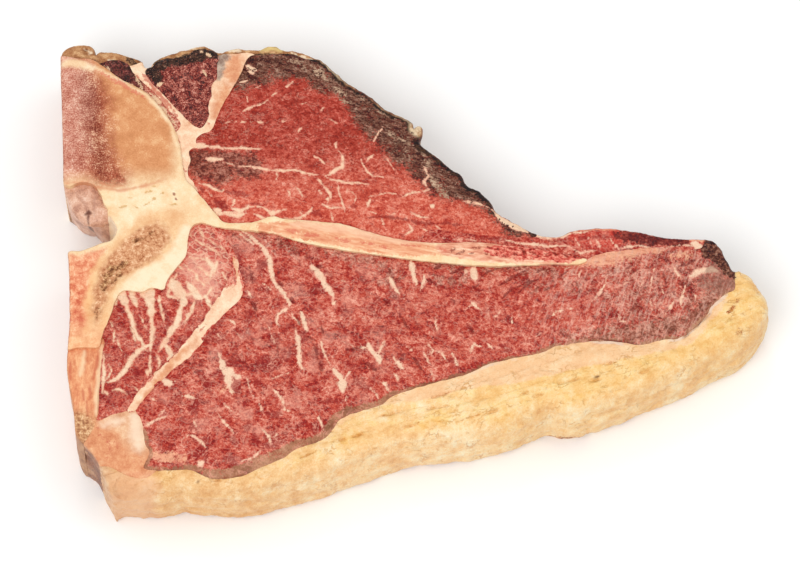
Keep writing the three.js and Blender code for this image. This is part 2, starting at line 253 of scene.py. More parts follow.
def triangles_in(loops, spacing, wanted):
    """Fills the ground that wanted accepts with even triangles that keep every outline."""
    tree = KDTree(sum(len(loop) for loop in loops))
    for i, p in enumerate(np.concatenate(loops)):
        tree.insert((p[0], p[1], 0), i)
    tree.balance()
    grid = [p for p in honeycomb(loops[-1], spacing) if tree.find((p[0], p[1], 0))[2] > 0.55 * spacing]
    corners = [tuple(p[:2]) for loop in loops for p in loop] + [tuple(p) for p in grid]
    faces = []
    start = 0
    for loop in loops:
        faces.append(list(range(start, start + len(loop))))
        start += len(loop)
    made = delaunay_2d_cdt([Vector(p) for p in corners], [], faces, 0, 1e-5, True)
    kept = [face for face, owners in zip(made[2], made[5]) if wanted(owners)]
    return np.array([tuple(v) for v in made[0]]), np.array(kept), made[3]


def side_inset(z, edge_round):
    """How far the side stands inside the outline at a height: tucked in at the foot, swollen midway."""
    tuck = BASE_TUCK * edge_round * np.maximum(0, 1 - z / TUCK_HEIGHT) ** 2
    bulge = SIDE_BULGE * edge_round * np.sin(np.pi * np.clip((z - BULGE_FOOT) / BULGE_HEIGHT, 0, 1))
    return tuck - bulge


claimed = []


class Piece:
    """One piece of the slice. Its points are in mm, and it knows how far each is from an edge."""

    def __init__(self, name, outline, slot, relief, side_relief=None):
        self.name = name
        self.slot = slot
        own = smooth_loop(outline, OUTLINE_STEP)
        own[:, :2] += outward(own) * (0.22 * rough(own[:, :2], 2.2, 9))[:, None]
        low, high = own.min(0) - 1, own.max(0) + 1
        near = [c for c in claimed if (c.min(0) < high).all() and (c.max(0) > low).all()]
        loops = [rim[:, :2]] + near + [own]
        last = len(loops) - 1

        def wanted(owners):
            return 0 in owners and last in owners and not any(0 < k < last for k in owners)

        flat, faces, _ = triangles_in(loops, TOP_SPACING, wanted)
        claimed.append(own)
        faces = self.main_part(faces)
        used = np.unique(faces)
        renumber = np.full(len(flat), -1)
        renumber[used] = np.arange(len(used))
        self.build(flat[used], renumber[faces], relief, side_relief)

    @staticmethod
    def main_part(faces):
        """Drops crumbs that hang on no shared edge with the rest."""
        parent = {}

        def root(i):
            while parent.setdefault(i, i) != i:
                parent[i] = parent[parent[i]]
                i = parent[i]
            return i

        edge_face = {}
        for f, (a, b, c) in enumerate(faces):
            for edge in ((a, b), (b, c), (c, a)):
                key = (min(edge), max(edge))
                if key in edge_face:
                    parent[root(f)] = root(edge_face[key])
                else:
                    edge_face[key] = f
        roots = np.array([root(f) for f in range(len(faces))])
        names, counts = np.unique(roots, return_counts=True)
        return faces[roots == names[counts.argmax()]]

    @staticmethod
    def outer_edge(faces):
        """The edge of the upper face as one loop of point numbers, counter-clockwise."""
        edges = {(int(a), int(b)) for f in faces for a, b in ((f[0], f[1]), (f[1], f[2]), (f[2], f[0]))}
        following = {a: b for a, b in edges if (b, a) not in edges}
        loops = []
        while following:
            start, at = following.popitem()
            loop = [start]
            while at != start:
                loop.append(at)
                at = following.pop(at)
            loops.append(loop)
        return np.array(max(loops, key=len))

    def build(self, flat, faces, relief, side_relief):
        border = self.outer_edge(faces)
        loop = flat[border]
        rim_gap, segment, share = nearest_on(rim, flat)
        here = rim[segment] * (1 - share)[:, None] + rim[(segment + 1) % len(rim)] * share[:, None]
        edge_round = np.maximum(here[:, 2], SHARPEST_ROUND)
        edge_gap = nearest_on(loop, flat)[0]
        over = np.clip(edge_round - rim_gap, 0, edge_round)
        drop = edge_round - np.sqrt(edge_round**2 - over**2)
        top_z = THICKNESS + relief(flat, edge_gap) - drop

        # the sides: rows of points under every border point on the rim, and one at the foot elsewhere
        on_rim = rim_gap[border] < 1e-3
        out = rim_out[segment[border]] * (1 - share[border])[:, None]
        out += rim_out[(segment[border] + 1) % len(rim)] * share[border][:, None]
        border_round = edge_round[border]
        heel = soft_step(-loop[:, 0], 117, 123) * soft_step(-loop[:, 1], 58, 68)
        points = [np.column_stack([flat, top_z])]
        column = [[int(i)] for i in border]
        count = len(flat)
        for row in range(1, SIDE_ROWS + 1):
            z = top_z[border] * (1 - row / SIDE_ROWS)
            swing = np.minimum(border_round, WIDEST_SWING)
            stray = SIDE_STRAY * swing * np.sin(0.19 * loop[:, 0] + 0.23 * z) * soft_step(z, -1, 1)
            stray *= np.cos(0.15 * loop[:, 1] + 0.31 * z)
            if side_relief is not None:
                stray += side_relief(np.column_stack([loop, z]))
            stray *= soft_step(z, 37, 34)
            at = loop + out * np.where(on_rim, stray - side_inset(z, swing), 0)[:, None]
            at[:, 1] -= np.where(on_rim, HEEL_FLARE * heel * (1 - z / THICKNESS), 0)
            chosen = on_rim | (row == SIDE_ROWS)
            points.append(np.column_stack([at, z])[chosen])
            for k in np.flatnonzero(chosen):
                column[k].append(count)
                count += 1
        walls = []
        for k in range(len(border)):
            here, there = column[k], column[(k + 1) % len(border)]
            if len(here) == len(there):
                for upper in range(len(here) - 1):
                    walls.append((here[upper + 1], there[upper + 1], there[upper], here[upper]))
            else:
                walls.append(tuple([here[-1]] + there[::-1] + here[:-1]))

        # the lower cut face: its middle is eased along with its edge, which the sides have moved
        foot = np.array([column[k][-1] for k in range(len(border))])
        base, base_faces, sources = triangles_in([loop], BASE_SPACING, lambda owners: 0 in owners)
        known = np.array([next((s for s in source if s < len(foot)), -1) for source in sources])
        fixed = known >= 0
        shift = np.zeros((len(base), 2))
        shift[fixed] = (np.concatenate(points)[foot][:, :2] - loop)[known[fixed]]
        links = np.concatenate([base_faces[:, pair] for k in range(3) for pair in ((k, k - 1), (k - 1, k))])
        near_by = np.bincount(links[:, 0], minlength=len(base))[:, None]
        for _ in range(EASING):
            pulls = [np.bincount(links[:, 0], shift[links[:, 1], axis], len(base)) for axis in (0, 1)]
            shift = np.where(fixed[:, None], shift, np.column_stack(pulls) / near_by)
        number = np.where(fixed, foot[known], count + np.cumsum(~fixed) - 1)
        extra = np.column_stack([(base + shift)[~fixed], np.zeros((~fixed).sum())])
        self.points = np.concatenate(points + [extra])
        self.faces = ([tuple(map(int, f)) for f in faces] + walls
                      + [tuple(int(number[i]) for i in face[::-1]) for face in base_faces])
        self.flat = self.points[:, :2]
        self.depth = THICKNESS - self.points[:, 2]
        sides = count - len(flat)
        self.edge_gap = np.concatenate([edge_gap, np.zeros(sides), nearest_on(loop, extra)[0]])
        self.rim_gap = np.concatenate([rim_gap, nearest_on(rim, np.concatenate(points)[-sides:])[0],
                                       nearest_on(rim, extra)[0]])
        wall = np.zeros(len(self.points))
        wall[[i for k in np.flatnonzero(on_rim) for i in column[k][1:]]] = 1
        wall[:len(flat)] = soft_step(over, 0.25 * edge_round, edge_round)
        self.wall = wall
        foot_face = soft_step(self.depth, THICKNESS - 1, THICKNESS)
        self.cut_face = np.maximum(soft_step(self.depth, 7, 3), foot_face)
        self.masks = {}

    def finish(self, material):
        mesh = bpy.data.meshes.new(self.name)
        mesh.from_pydata([tuple(p) for p in self.points * MM], [], self.faces)
        for name, values in self.masks.items():
            layer = mesh.attributes.new(name, "FLOAT", "POINT")
            layer.data.foreach_set("value", np.clip(values, 0, 1).astype(np.float32))
        mesh.materials.append(material)
        mesh.shade_smooth()
        mesh.set_sharp_from_angle(angle=math.radians(50))
        piece = bpy.data.objects.new(self.name + "_look", mesh)
        bpy.context.scene.collection.objects.link(piece)
        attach(piece, "root")
        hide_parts(self.name)


def level(lift, crown, gap):
    """The height of a cut face over the slice's own: it rises by crown away from its edge."""
    return lift + crown * (1 - np.exp(-gap / 5))


def hollow(at, x, y, depth, reach):
    """A shallow round hollow in a cut face."""
    return depth * np.exp(-((at[:, 0] - x) ** 2 + (at[:, 1] - y) ** 2) / reach**2)


# ---- spinal cord ----
# A soft grey pink stump in the notch of the spinal canal, cut a little below the bone.
SHEEN = 0.015  # what the wet surface adds to any colour
LIGHT = 1.12  # how much brighter than plain white paper the light makes a surface


def paint(value):
    """The colour that looks like six hex digits under the sheen and light of this scene."""
    parts = [int(value[k:k + 2], 16) / 255 for k in (0, 2, 4)]
    parts = [p / 12.92 if p <= 0.04045 else ((p + 0.055) / 1.055) ** 2.4 for p in parts]
    return (*[max(0.003, (p - SHEEN) / LIGHT) for p in parts], 1.0)


def add_node(tree, kind, given=(), **settings):
    """Adds a node with its settings, and gives each input its value or the socket that feeds it."""
    node = tree.nodes.new(kind)
    for name, value in settings.items():
        setattr(node, name, value)
    for name, value in dict(given).items():
        if isinstance(value, bpy.types.NodeSocket):
            tree.links.new(value, node.inputs[name])
        else:
            node.inputs[name].default_value = value
    return node.outputs


class Finish:
    """A material or node group while it is put together. Its textures are laid out in mm."""

    def __init__(self, tree):
        self.tree = tree
        self.shade = self.result = None

    def add(self, kind, given=(), out=0, **settings):
        return add_node(self.tree, "ShaderNode" + kind, given, **settings)[out]

    def use(self, group, **given):
        return add_node(self.tree, "ShaderNodeGroup", given, node_tree=group)

    def feed(self, **values):
        """What a node group gives out."""
        for name, value in values.items():
            self.tree.links.new(value, self.result[name])

    def place(self, along=1.0, across=1.0, down=1.0, turn=0.0):
        """Where a point lies in mm, turned on the cut face and shrunk by how far a grain is drawn out."""
        at = self.add("TexCoord", out="Object")
        sizes = (1000 / along, 1000 / across, 1000 / down)
        if turn:
            turned = {"Vector": at, "Angle": -math.radians(turn)}
            at = self.add("VectorRotate", turned, rotation_type="Z_AXIS")
        return self.add("VectorMath", {0: at, 1: sizes}, operation="MULTIPLY")

    def mask(self, name):
        return self.add("Attribute", out="Fac", attribute_name=name)

    def noise(self, at, size, detail=3.0, grit=0.6):
        given = {"Vector": at, "Scale": 1 / size, "Detail": detail, "Roughness": grit}
        return self.add("TexNoise", given, "Fac")

    def cells(self, at, size, feature="DISTANCE_TO_EDGE", out="Distance"):
        return self.add("TexVoronoi", {"Vector": at, "Scale": 1 / size}, out, feature=feature)

    def step(self, value, low, high, start=0.0, end=1.0):
        given = {"Value": value, "From Min": low, "From Max": high, "To Min": start, "To Max": end}
        return self.add("MapRange", given, interpolation_type="SMOOTHSTEP")

    def sum(self, a, b):
        return self.add("Math", {0: a, 1: b}, operation="ADD")

    def times(self, a, b):
        return self.add("Math", {0: a, 1: b}, operation="MULTIPLY")

    def less(self, a, b):
        return self.add("Math", {0: a, 1: b}, operation="SUBTRACT")

    def larger(self, a, b):
        return self.add("Math", {0: a, 1: b}, operation="MAXIMUM")

    def shifted(self, at, by):
        return self.add("VectorMath", {0: at, 1: by}, operation="ADD")

    def scaled(self, at, by):
        return self.add("VectorMath", {0: at, "Scale": by}, operation="SCALE")

    def blend(self, share, a, b):
        a, b = (paint(c) if isinstance(c, str) else c for c in (a, b))
        return self.add("Mix", {0: share, 6: a, 7: b}, 2, data_type="RGBA")

    def lay(self, where, colour, share=1.0):
        """Lays a colour over the shade so far. Where is the name of a mask, or a value."""
        where = self.mask(where) if isinstance(where, str) else where
        where = self.times(where, share) if share != 1.0 else where
        self.shade = self.blend(where, self.shade, colour)

    def shades(self, value, stops):
        """Colours from low to high values: for each its place in hundredths and its hex digits."""
        node = self.tree.nodes.new("ShaderNodeValToRGB")
        self.tree.links.new(value, node.inputs[0])
        stops = [stop.split() for stop in stops.split(", ")]
        elements = node.color_ramp.elements
        while len(elements) < len(stops):
            elements.new(0.5)
        for element, (place, colour) in zip(elements, stops):
            element.position = int(place) / 100
            element.color = paint(colour)
        return node.outputs[0]


def new_finish(name):
    material = bpy.data.materials.new(name)
    material.use_nodes = True
    return material, Finish(material.node_tree)


def give(material, colour, roughness, height, bump, moist):
    """Feeds the shader: height is in mm, and moist is how much wet film covers the surface."""
    finish = Finish(material.node_tree)
    shader = material.node_tree.nodes["Principled BSDF"]
    link = material.node_tree.links.new
    link(colour, shader.inputs["Base Color"])
    link(roughness, shader.inputs["Roughness"])
    normal = finish.add("Bump", {"Height": height, "Distance": MM, "Strength": bump}, "Normal")
    link(normal, shader.inputs["Normal"])
    shader.inputs["Specular IOR Level"].default_value = 0.16
    shader.inputs["Coat Weight"].default_value = moist
    shader.inputs["Coat Roughness"].default_value = 0.25


def new_group(name, outputs, **numbers):
    """An empty node group that takes a place and numbers, each with what it starts at."""
    group = bpy.data.node_groups.new(name, "ShaderNodeTree")
    group.interface.new_socket("Place", in_out="INPUT", socket_type="NodeSocketVector")
    for label, start in numbers.items():
        group.interface.new_socket(label, in_out="INPUT", socket_type="NodeSocketFloat").default_value = start
    for label in outputs:
        kind = "NodeSocketColor" if label == "Colour" else "NodeSocketFloat"
        group.interface.new_socket(label, in_out="OUTPUT", socket_type=kind)
    f = Finish(group)
    given = group.nodes.new("NodeGroupInput").outputs
    f.result = group.nodes.new("NodeGroupOutput").inputs
    return group, f, given["Place"], given


# soft tissue of any kind: mottled tone, fine grit and shallow lumps
tissue, f, place, given = new_group("soft_tissue", ("Tone", "Grit", "Height"), Patch=4.0, Contrast=1.0)
per_patch = f.add("Math", {0: 1.0, 1: given["Patch"]}, operation="DIVIDE")
patches = f.noise(f.scaled(place, per_patch), 1.0, 4.0, 0.62)
grit = f.noise(place, 0.55, 3.0, 0.7)
mixed = f.sum(f.times(f.less(patches, 0.5), 1.5), f.times(f.less(grit, 0.5), 0.8))
f.feed(Tone=f.sum(f.times(mixed, given["Contrast"]), 0.5), Grit=grit,
       Height=f.sum(f.times(patches, 0.5), f.times(grit, 0.22)))


MARK_STEP = 0.5


def run_points(run):
    """The points of a mark in mm: the first one's x and y, then the steps on to each next one."""
    return np.cumsum(np.reshape(run, (-1, 2)), axis=0) * MARK_STEP


def strokes(at, ways, soft=0.35, stray=0.3, thin=1.0):
    """How far strokes cover each point. A stroke is its width in mm and its run."""
    cover = np.zeros(len(at))
    at = at + 0.5 * np.column_stack([rough(at, 4.0, 32, 2), rough(at, 4.0, 33, 2)])
    wobble = stray * rough(at, 1.5, 31, 2)
    for width, *way in ways:
        way = run_points(way if len(way) > 2 else way + [0, 0])
        near = ((at > way.min(0) - width - 1) & (at < way.max(0) + width + 1)).all(1)
        some = at[near]
        lengths = np.maximum(np.linalg.norm(np.diff(way, axis=0), axis=1), 1e-6)
        run = np.concatenate([[0], np.cumsum(lengths)]) / lengths.sum()
        gap = np.full(len(some), 99.0)
        place = np.zeros(len(some))
        for k, (start, end) in enumerate(zip(way, way[1:])):
            t = np.clip((some - start) @ (end - start) / lengths[k] ** 2, 0, 1)
            apart = np.linalg.norm(some - start - t[:, None] * (end - start), axis=1)
            place = np.where(apart < gap, run[k] + t * (run[k + 1] - run[k]), place)
            gap = np.minimum(gap, apart)
        half = thin * width / 2 * (1 - 0.6 * np.abs(2 * place - 1) ** 3)
        cover[near] = np.maximum(cover[near], soft_step(half - gap + wobble[near], -soft, soft))
    return cover


def zone(at, outline, soft, stray, grain=3.0):
    """How far each point lies in a field with soft, ragged edges, whose outline is a run."""
    loop = smooth_loop(run_points(outline), 1.5)
    margin = soft + 2 * stray + 1
    near = ((at > loop.min(0) - margin) & (at < loop.max(0) + margin)).all(1)
    some = at[near]
    x, y = some.T
    within = np.zeros(len(some), bool)
    for a, b in zip(loop, np.roll(loop, -1, axis=0)):
        if a[1] != b[1]:
            crossing = a[0] + (y - a[1]) * (b[0] - a[0]) / (b[1] - a[1])
            within ^= ((a[1] > y) != (b[1] > y)) & (x < crossing)
    gap = nearest_on(loop, some)[0]
    cover = np.zeros(len(at))
    cover[near] = soft_step(np.where(within, gap, -gap) + stray * rough(some, grain, 53), -soft, soft)
    return cover


def veins(at, size, width, seed):
    """Thin wandering lines about size mm apart."""
    drift = np.column_stack([lumps(at, size * 0.7, seed + 7), lumps(at, size * 0.7, seed + 8)])
    bent = at + 0.25 * size * drift
    return soft_step(width / size - np.abs(lumps(bent, size, seed)), -0.5 * width / size, 0.5 * width / size)


CORD = [(-133, 32.5), (-127, 31), (-125, 32), (-119.5, 32), (-115.5, 27.5), (-114.5, 24), (-113, 21.5),
        (-114, 15), (-132.5, 16)]


def cord_relief(at, gap):
    folds = 0.35 * rough(at, 4.5, 3) - 0.5 * strokes(at, CORD_FOLDS, 0.5)
    return level(-2.2, 1.2, gap) + folds


CORD_FOLDS = [(1, -250, 59, 6, -8, 4, -10), (0.9, -235, 59, -2, -11, 2, -9)]


def cord_side(points):
    """The stump is round bottomed: it draws in towards its foot."""
    share = np.clip((points[:, 0] + 130) / 18, 0, 1)
    drawn_in = 8 * np.sin(np.pi * share) ** 0.9 * (1 - points[:, 2] / THICKNESS) ** 0.8
    return 0.3 * rough(points, 5, 37) - drawn_in


cord = Piece("spinal_cord", CORD, "cord", cord_relief, cord_side)
cord.masks.update(
    fold=strokes(cord.flat, CORD_FOLDS, 0.6),
    blood=strokes(cord.flat, [(1.2, -243, 40, 3, 2, 3, -1), (0.8, -240, 40, 0, -6)], 0.4),
    wall=cord.wall)
cord_look, f = new_finish("cord_look")
grain = f.use(tissue, Place=f.place(down=2), Patch=3.5, Contrast=1.1)
f.shade = f.shades(grain["Tone"], "15 b3806c, 50 dfac92, 85 f6d3bc")
# painted shade: the folds on the stump's upper left laid greyish brown
f.lay("fold", "b08070", 0.4)
f.lay("blood", "5a2c24", 0.8)
give(cord_look, f.shade, f.step(grain["Grit"], 0.3, 0.7, 0.3, 0.5), grain["Height"], 0.5, 0.15)
cord.finish(cord_look)

# ---- backbone ----
# A halved vertebra, sawn through: hard cream shell, red spongy marrow bone, tan gristle plate, and the
# long side process between the fillet and the loin. The saw leaves it a millimetre proud of the meat.
BONE = [(-135.5, 83), (-125.5, 83), (-120, 82.5), (-110.5, 75.5), (-98.5, 68), (-88, 52.5), (-84, 33.5),
        (-81.5, 30.5), (-72.5, 19.5), (-70, 16.5), (-60, 16), (-51.5, 18.5), (-47, 17.5), (-26.5, 15.5),
        (-9.5, 10.5), (5, 8), (25, 8), (57, 3.5), (65, 1), (62.5, -0.5), (55, -0.5), (22, -1), (-39.5, 8),
        (-52.5, 12), (-70.5, 14), (-78.5, 16), (-81, 15), (-82.5, 12), (-83.5, 3.5), (-90, -6.5),
        (-91.5, -10.5), (-96, -10), (-99.5, -11.5), (-107, -11.5), (-111, -21), (-114, -29.5),
        (-115, -33.5), (-120.5, -33.5), (-132, -33)]
SHELL = [
    (3.4, -264, 160, 7, 2, 9, -1, 8, -4), (1.5, -255, 161, 4, 1, 8, -3, 7, -2, 9, -5, 10, -5, 8, -6, 9, -5,
    5, -4, 5, -5, 5, -8, 6, -9, 3, -10, 3, -13, 1, -10, 2, -10),
]
SPONGY_BODY = [
    -272, 161, 11, -1, 12, -1, 10, -4, 8, -9, 5, -12, 1, -16, 0, -14, 2, -12, 4, -10, 5, -10, 3, -8,
    -12, -3, -12, 3, -9, 5, -9, 1, -16, -3,
]
BROWN_CORE = [
    -248, 156, 8, -5, 6, -12, 1, -15, 3, -16, 3, -15, 1, -16, -5, -7, -7, 13, -5, 17, -5, 18, -4, 18, 0, 13,
]
SPONGY_NECK = [
    -232, -50, -4, 14, 2, 19, 5, 16, 7, 10, 13, 11, 12, 10, 9, 3, 7, -6, 2, -10, -6, -10, -10, -8, -13, -7,
    -10, -8, -7, -12, -3, -14,
]
GOLDEN_NECK = [
    -166, 35, -12, 7, -16, -2, -15, -13, -16, -16, -10, -15, -2, -25, 0, -26, 8, -4, 5, 20, 7, 19, 16, 11,
    19, 8, 13, 15,
]
DARK_POCKETS = [
    (2.6, -227, -23, -1, 6, 2, 7, 5, 6, 7, 3, 4, 2), (2.2, -218, -10, 4, 3), (1.8, -232, -44, 1, 10),
    (2, -225, -4, 5, 3), (1.6, -223, -17, 5, 5), (1.2, -206, 17, 8, 3, 6, 5),
]
GRISTLE_BAND = [
    -164, 30, -5, 0, -4, -10, -6, -9, -7, -9, -10, -6, -9, -5, -7, -8, -6, -9, 6, -7, 7, 4, 9, -4, 7, 7,
    9, 6, 7, 10, 8, 11, 2, 13,
]
RED_STRIP = [-260, 4, 16, 3, 18, 4, -5, -8, -5, -10, -3, -14, -2, -13, 0, -14, -3, -11, -15, -2]
CREAM_NECK = [
    -227, 59, 11, 0, 14, 1, 15, 1, 13, 3, 9, -5, 9, -8, 9, -10, 6, -8, -11, 0, -13, 8, -13, 3, -10, -2,
    -9, -6, -10, -9, -11, -7, -13, -5, -12, -5, -13, -1, 0, 5, 25, 5, 9, 8, -1, 14, -6, 10,
]
NECK_MARKS = [
    (0.9, -217, 44, 5, 1), (0.7, -206, 45, 3, -1), (0.8, -200, 46, 5, 2), (0.7, -193, 50, 2, 2),
    (0.9, -199, 56, 6, 1), (0.6, -187, 54, 4, 2), (0.7, -193, 61, 4, 0), (0.7, -179, 46, 5, 1),
    (0.6, -211, 52, 3, -1),
]
NECK_PIT = [(0.9, -177, 56, 1, -2), (1.1, -175, 52, 1, -2)]
PLATE_EDGE = [
    (1, -257, 64, 7, 1, 8, 0, 7, -4, 8, -2, 9, -1, 8, 1, 9, 2, 9, 2, 8, 4), (0.8, -232, 64, 7, -3, 11, 0),
]
RED_LINES = [(1.4, -237, 156, 9, -5, 9, -5, 9, -6, 9, -7, 7, -7), (1.2, -255, -47, 12, 0)]
PROCESS_CORE = [(8, -111, 28, 21, -1, 22, -4, 23, -4, 22, -4, 30, -4, 22, -1)]
PROCESS_PALE = [(4, -90, 31, 22, -2, 23, -3, 22, -5, 22, -3, 22, -2)]
PROCESS_MARROW = [(6.5, 56, 9, 11, 0, 14, -1, 18, -1, 16, -2, 10, 0)]
PROCESS_TIP = [(9.5, 21, 11, 23, -1, 22, -1, 22, -1, 19, -2, 15, -1)]
PROCESS_RED = [
    (1.6, -94, 26, 11, -2), (1.8, -81, 23, 12, -2), (1.8, -56, 19, 11, -2), (1.2, -38, 16, 11, -2),
    (1.2, -25, 12, 11, -1), (1.4, 21, 11, 6, -2), (1, -8, 14, 15, -2),
]
PROCESS_HOLES = [
    (1.6, 29, 8, 4, 3), (1.4, 35, 7, 5, 4), (1.6, 44, 12, 7, 0), (1.2, 33, 6, 3, 3), (1.2, 42, 7, 4, 0),
    (1.2, 54, 7, 3, -1), (1.4, 82, 11, 3, -4), (1.4, 88, 9, 5, -3), (1.2, 75, 6, 4, 1), (1.2, 98, 5, 4, 2),
    (1.2, 105, 7, 4, -1), (1, 113, 7, 4, -3), (1.2, 67, 6, 4, -2),
]


def bone_sponge(at):
    open_bone = np.maximum(zone(at, SPONGY_BODY, 3, 2.5), zone(at, SPONGY_NECK, 1.2, 1.2))
    return np.maximum(open_bone, strokes(at, PROCESS_MARROW, 0.6, 0.6))


def bone_relief(at, gap):
    x, y = at.T
    height = 1.2 + 0.15 * np.sin(0.31 * x) * np.sin(0.27 * y)
    height -= hollow(at, -110.5, -2, 1.8, 6.5)
    height -= hollow(at, -117, -16, 1.1, 5)
    height += bone_sponge(at) * (0.16 * rough(at, 1.3, 17) - 0.1)
    height -= 0.55 * strokes(at, DARK_POCKETS, 0.5) + 0.35 * strokes(at, PROCESS_HOLES, 0.4)
    height += 0.12 * strokes(at, SHELL, 0.5) - 0.35 * strokes(at, NECK_MARKS, 0.35)
    height += 0.09 * rough(at, 5, 23)
    return height - 0.5 * np.exp(-gap / 0.7)


def saw_marks(at):
    return 0.05 * np.sin(at[:, 2] * 1.9 + 0.4 * np.sin(at[:, 1] * 0.2)) * soft_step(-at[:, 0], 126, 129)


bone = Piece("backbone", BONE, "bone", bone_relief, saw_marks)
at = bone.flat
bone.masks.update(
    sponge=zone(at, SPONGY_BODY, 6.0, 1.5),
    neck=zone(at, SPONGY_NECK, 2.2, 1.2),
    red_edge=zone(at, RED_STRIP, 2.5, 1.5),
    golden=zone(at, GOLDEN_NECK, 2.2, 1.2),
    brown=zone(at, BROWN_CORE, 5.5, 1.5),
    shell=np.maximum(0.9 * strokes(at, SHELL, 1.0), zone(at, CREAM_NECK, 2.0, 1.5)),
    gristle=zone(at, GRISTLE_BAND, 1.3, 0.8),
    red=np.maximum(strokes(at, RED_LINES, 1.0, 0.6), strokes(at, PROCESS_RED, 0.8)),
    dark=strokes(at, DARK_POCKETS, 1.2, 1.0),
    mark=strokes(at, NECK_MARKS, 0.7),
    pit=strokes(at, NECK_PIT, 0.5),
    plate_edge=strokes(at, PLATE_EDGE, 0.7, 0.4),
    tip=strokes(at, PROCESS_TIP, 1.0, 0.5),
    # pink: the left margin of the bone laid lighter, painted light where that edge is brightly lit
    pink=soft_step(-at[:, 0] + 2 * rough(at, 5, 33), 116, 128) * soft_step(at[:, 1], 30, 38),
    holes=strokes(at, PROCESS_HOLES, 0.7, 0.5),
    marrow=strokes(at, PROCESS_MARROW, 0.7, 0.8),
    core=strokes(at, PROCESS_CORE, 1.0, 0.5),
    pale=strokes(at, PROCESS_PALE, 0.9, 0.5),
    tan=soft_step(-at[:, 0], 84, 92) * soft_step(at[:, 1], 28, 40),
    strip=soft_step(-at[:, 1], -6, 4) * soft_step(-at[:, 0], 108, 114),
    wall=bone.wall)
from_canal = np.minimum(np.abs(at[:, 1] - 33), np.abs(at[:, 1] - 5.3)) + 1.2 * rough(bone.points, 6, 39)
bone.masks.update(
    saw_edge=bone.wall * soft_step(-at[:, 0], 126, 129) * soft_step(from_canal, 3.4, 0.6),
    # canal: the bone's side in the notch by the spinal canal, laid near white as painted light on a side in
    # shade
    canal=bone.wall * soft_step(at[:, 0], -124, -118) * soft_step(-at[:, 1], -24, -20),
    foot=soft_step(-at[:, 1] + rough(at, 3, 35), 21, 30) * (1 - bone.wall))

# what breaks up the edge of a stain or a streak of fat, and thin wandering threads
frays, f, place, given = new_group("frays", ("Fray", "Cloud", "Speck", "Thread"))
fine = f.noise(place, 0.8, 3.0, 0.75)
cloud = f.noise(place, 3.2)
fray = f.sum(f.times(f.less(fine, 0.5), 2.2), f.times(f.less(cloud, 0.5), 1.3))
drift = f.add("TexNoise", {"Vector": place, "Scale": 0.4, "Detail": 2.0}, "Color")
bent = f.shifted(place, f.scaled(drift, 3.0))
ridge = f.add("Math", {0: f.less(f.noise(bent, 2.6, 2.0, 0.5), 0.5)}, operation="ABSOLUTE")
some = f.step(f.noise(place, 4.5, 2.0), 0.46, 0.62)
f.feed(Fray=fray, Cloud=cloud, Speck=f.noise(place, 0.5, 1.0, 0.5),
       Thread=f.times(f.step(ridge, 0.01, 0.045, 1.0, 0.0), some))


def frayed(f, name, fray, low, high, amount=1.0):
    """A mask with its edge broken up, and nothing where there is no mask at all."""
    mask = f.mask(name)
    fray = f.times(fray, amount) if amount != 1.0 else fray
    return f.times(f.step(f.sum(mask, fray), low, high), f.step(mask, 0.02, 0.16))


bone_look, f = new_finish("bone_look")
place = f.place()
grain = f.use(tissue, Place=place, Patch=5.0, Contrast=1.0)
torn = f.use(frays, Place=place)
pores = f.cells(f.shifted(place, f.add("TexNoise", {"Vector": place, "Scale": 1.2}, "Color")), 0.95)
web = f.step(pores, 0.03, 0.22, 1.0, 0.0)
speckle = f.sum(f.sum(f.times(grain["Tone"], 0.25), f.times(torn["Speck"], 0.5)),
                f.times(f.noise(place, 1.3, 2.0), 0.25))
coarse = f.sum(f.times(f.noise(place, 1.5, 2.0), 0.65), f.times(torn["Speck"], 0.35))
dense = f.shades(grain["Tone"], "10 eebf8e, 50 f9dbaf, 90 feecc6")
soft_tone = f.sum(f.times(grain["Tone"], 0.6), f.times(torn["Speck"], 0.4))
tan = f.shades(soft_tone, "30 cc8a5c, 45 d99566, 57 e0a070, 72 ecb888")
spongy = f.shades(speckle, "37 853020, 46 af5941, 54 c97a5c, 64 f3c09e")
brown = f.shades(speckle, "37 5a221b, 46 8c4434, 54 a9634c, 64 e6b08e")
neck = f.shades(coarse, "34 a3623f, 44 c98a62, 54 dfa67c, 66 f8d0a8")
blotch = f.sum(f.times(f.noise(place, 2.4, 3.0, 0.65), 0.8), f.times(torn["Speck"], 0.2))
red_strip = f.shades(blotch, "36 c95842, 46 e0805f, 54 ee9f7a, 64 fbc7a0")
f.shade = f.blend(f.mask("tan"), dense, tan)
f.lay("strip", f.shades(grain["Tone"], "10 e8945f, 60 f6bd85"), 0.85)
light_fray = f.times(f.less(torn["Speck"], 0.5), 0.8)
f.lay(frayed(f, "sponge", light_fray, 0.0, 1.0), spongy)
f.lay(frayed(f, "brown", light_fray, 0.0, 1.0), brown, 0.85)
# painted light: a lighter pink over the bone's brightly lit left margin
pinkish = f.shades(speckle, "37 c0705a, 50 e5a591, 64 f8d2c0")
f.lay("pink", pinkish, 0.7)
f.lay("shell", f.shades(grain["Tone"], "10 f2c898, 50 fbdcb2, 90 feefcf"))
f.lay("golden", f.shades(grain["Tone"], "10 e3a675, 50 efbd8c, 90 fbd8a8"), 0.85)
f.lay(frayed(f, "neck", light_fray, 0.1, 1.0), neck)
f.lay("gristle", f.shades(grain["Tone"], "10 fbd2a6, 60 fde8c6"))
core = f.shades(f.noise(f.place(along=5, turn=-12), 1.3), "30 d9805c, 50 eda57e, 70 f9cba4")
f.lay(frayed(f, "core", torn["Fray"], 0.2, 0.9), core, 0.95)
end = f.shades(f.noise(f.place(along=4, turn=-3), 1.1), "30 cf7d64, 45 e8a082, 58 f5bf9f, 70 fddcbe")
f.lay(frayed(f, "tip", torn["Fray"], 0.2, 0.9, 0.3), end)
f.lay("pale", "fbcfae", 0.55)
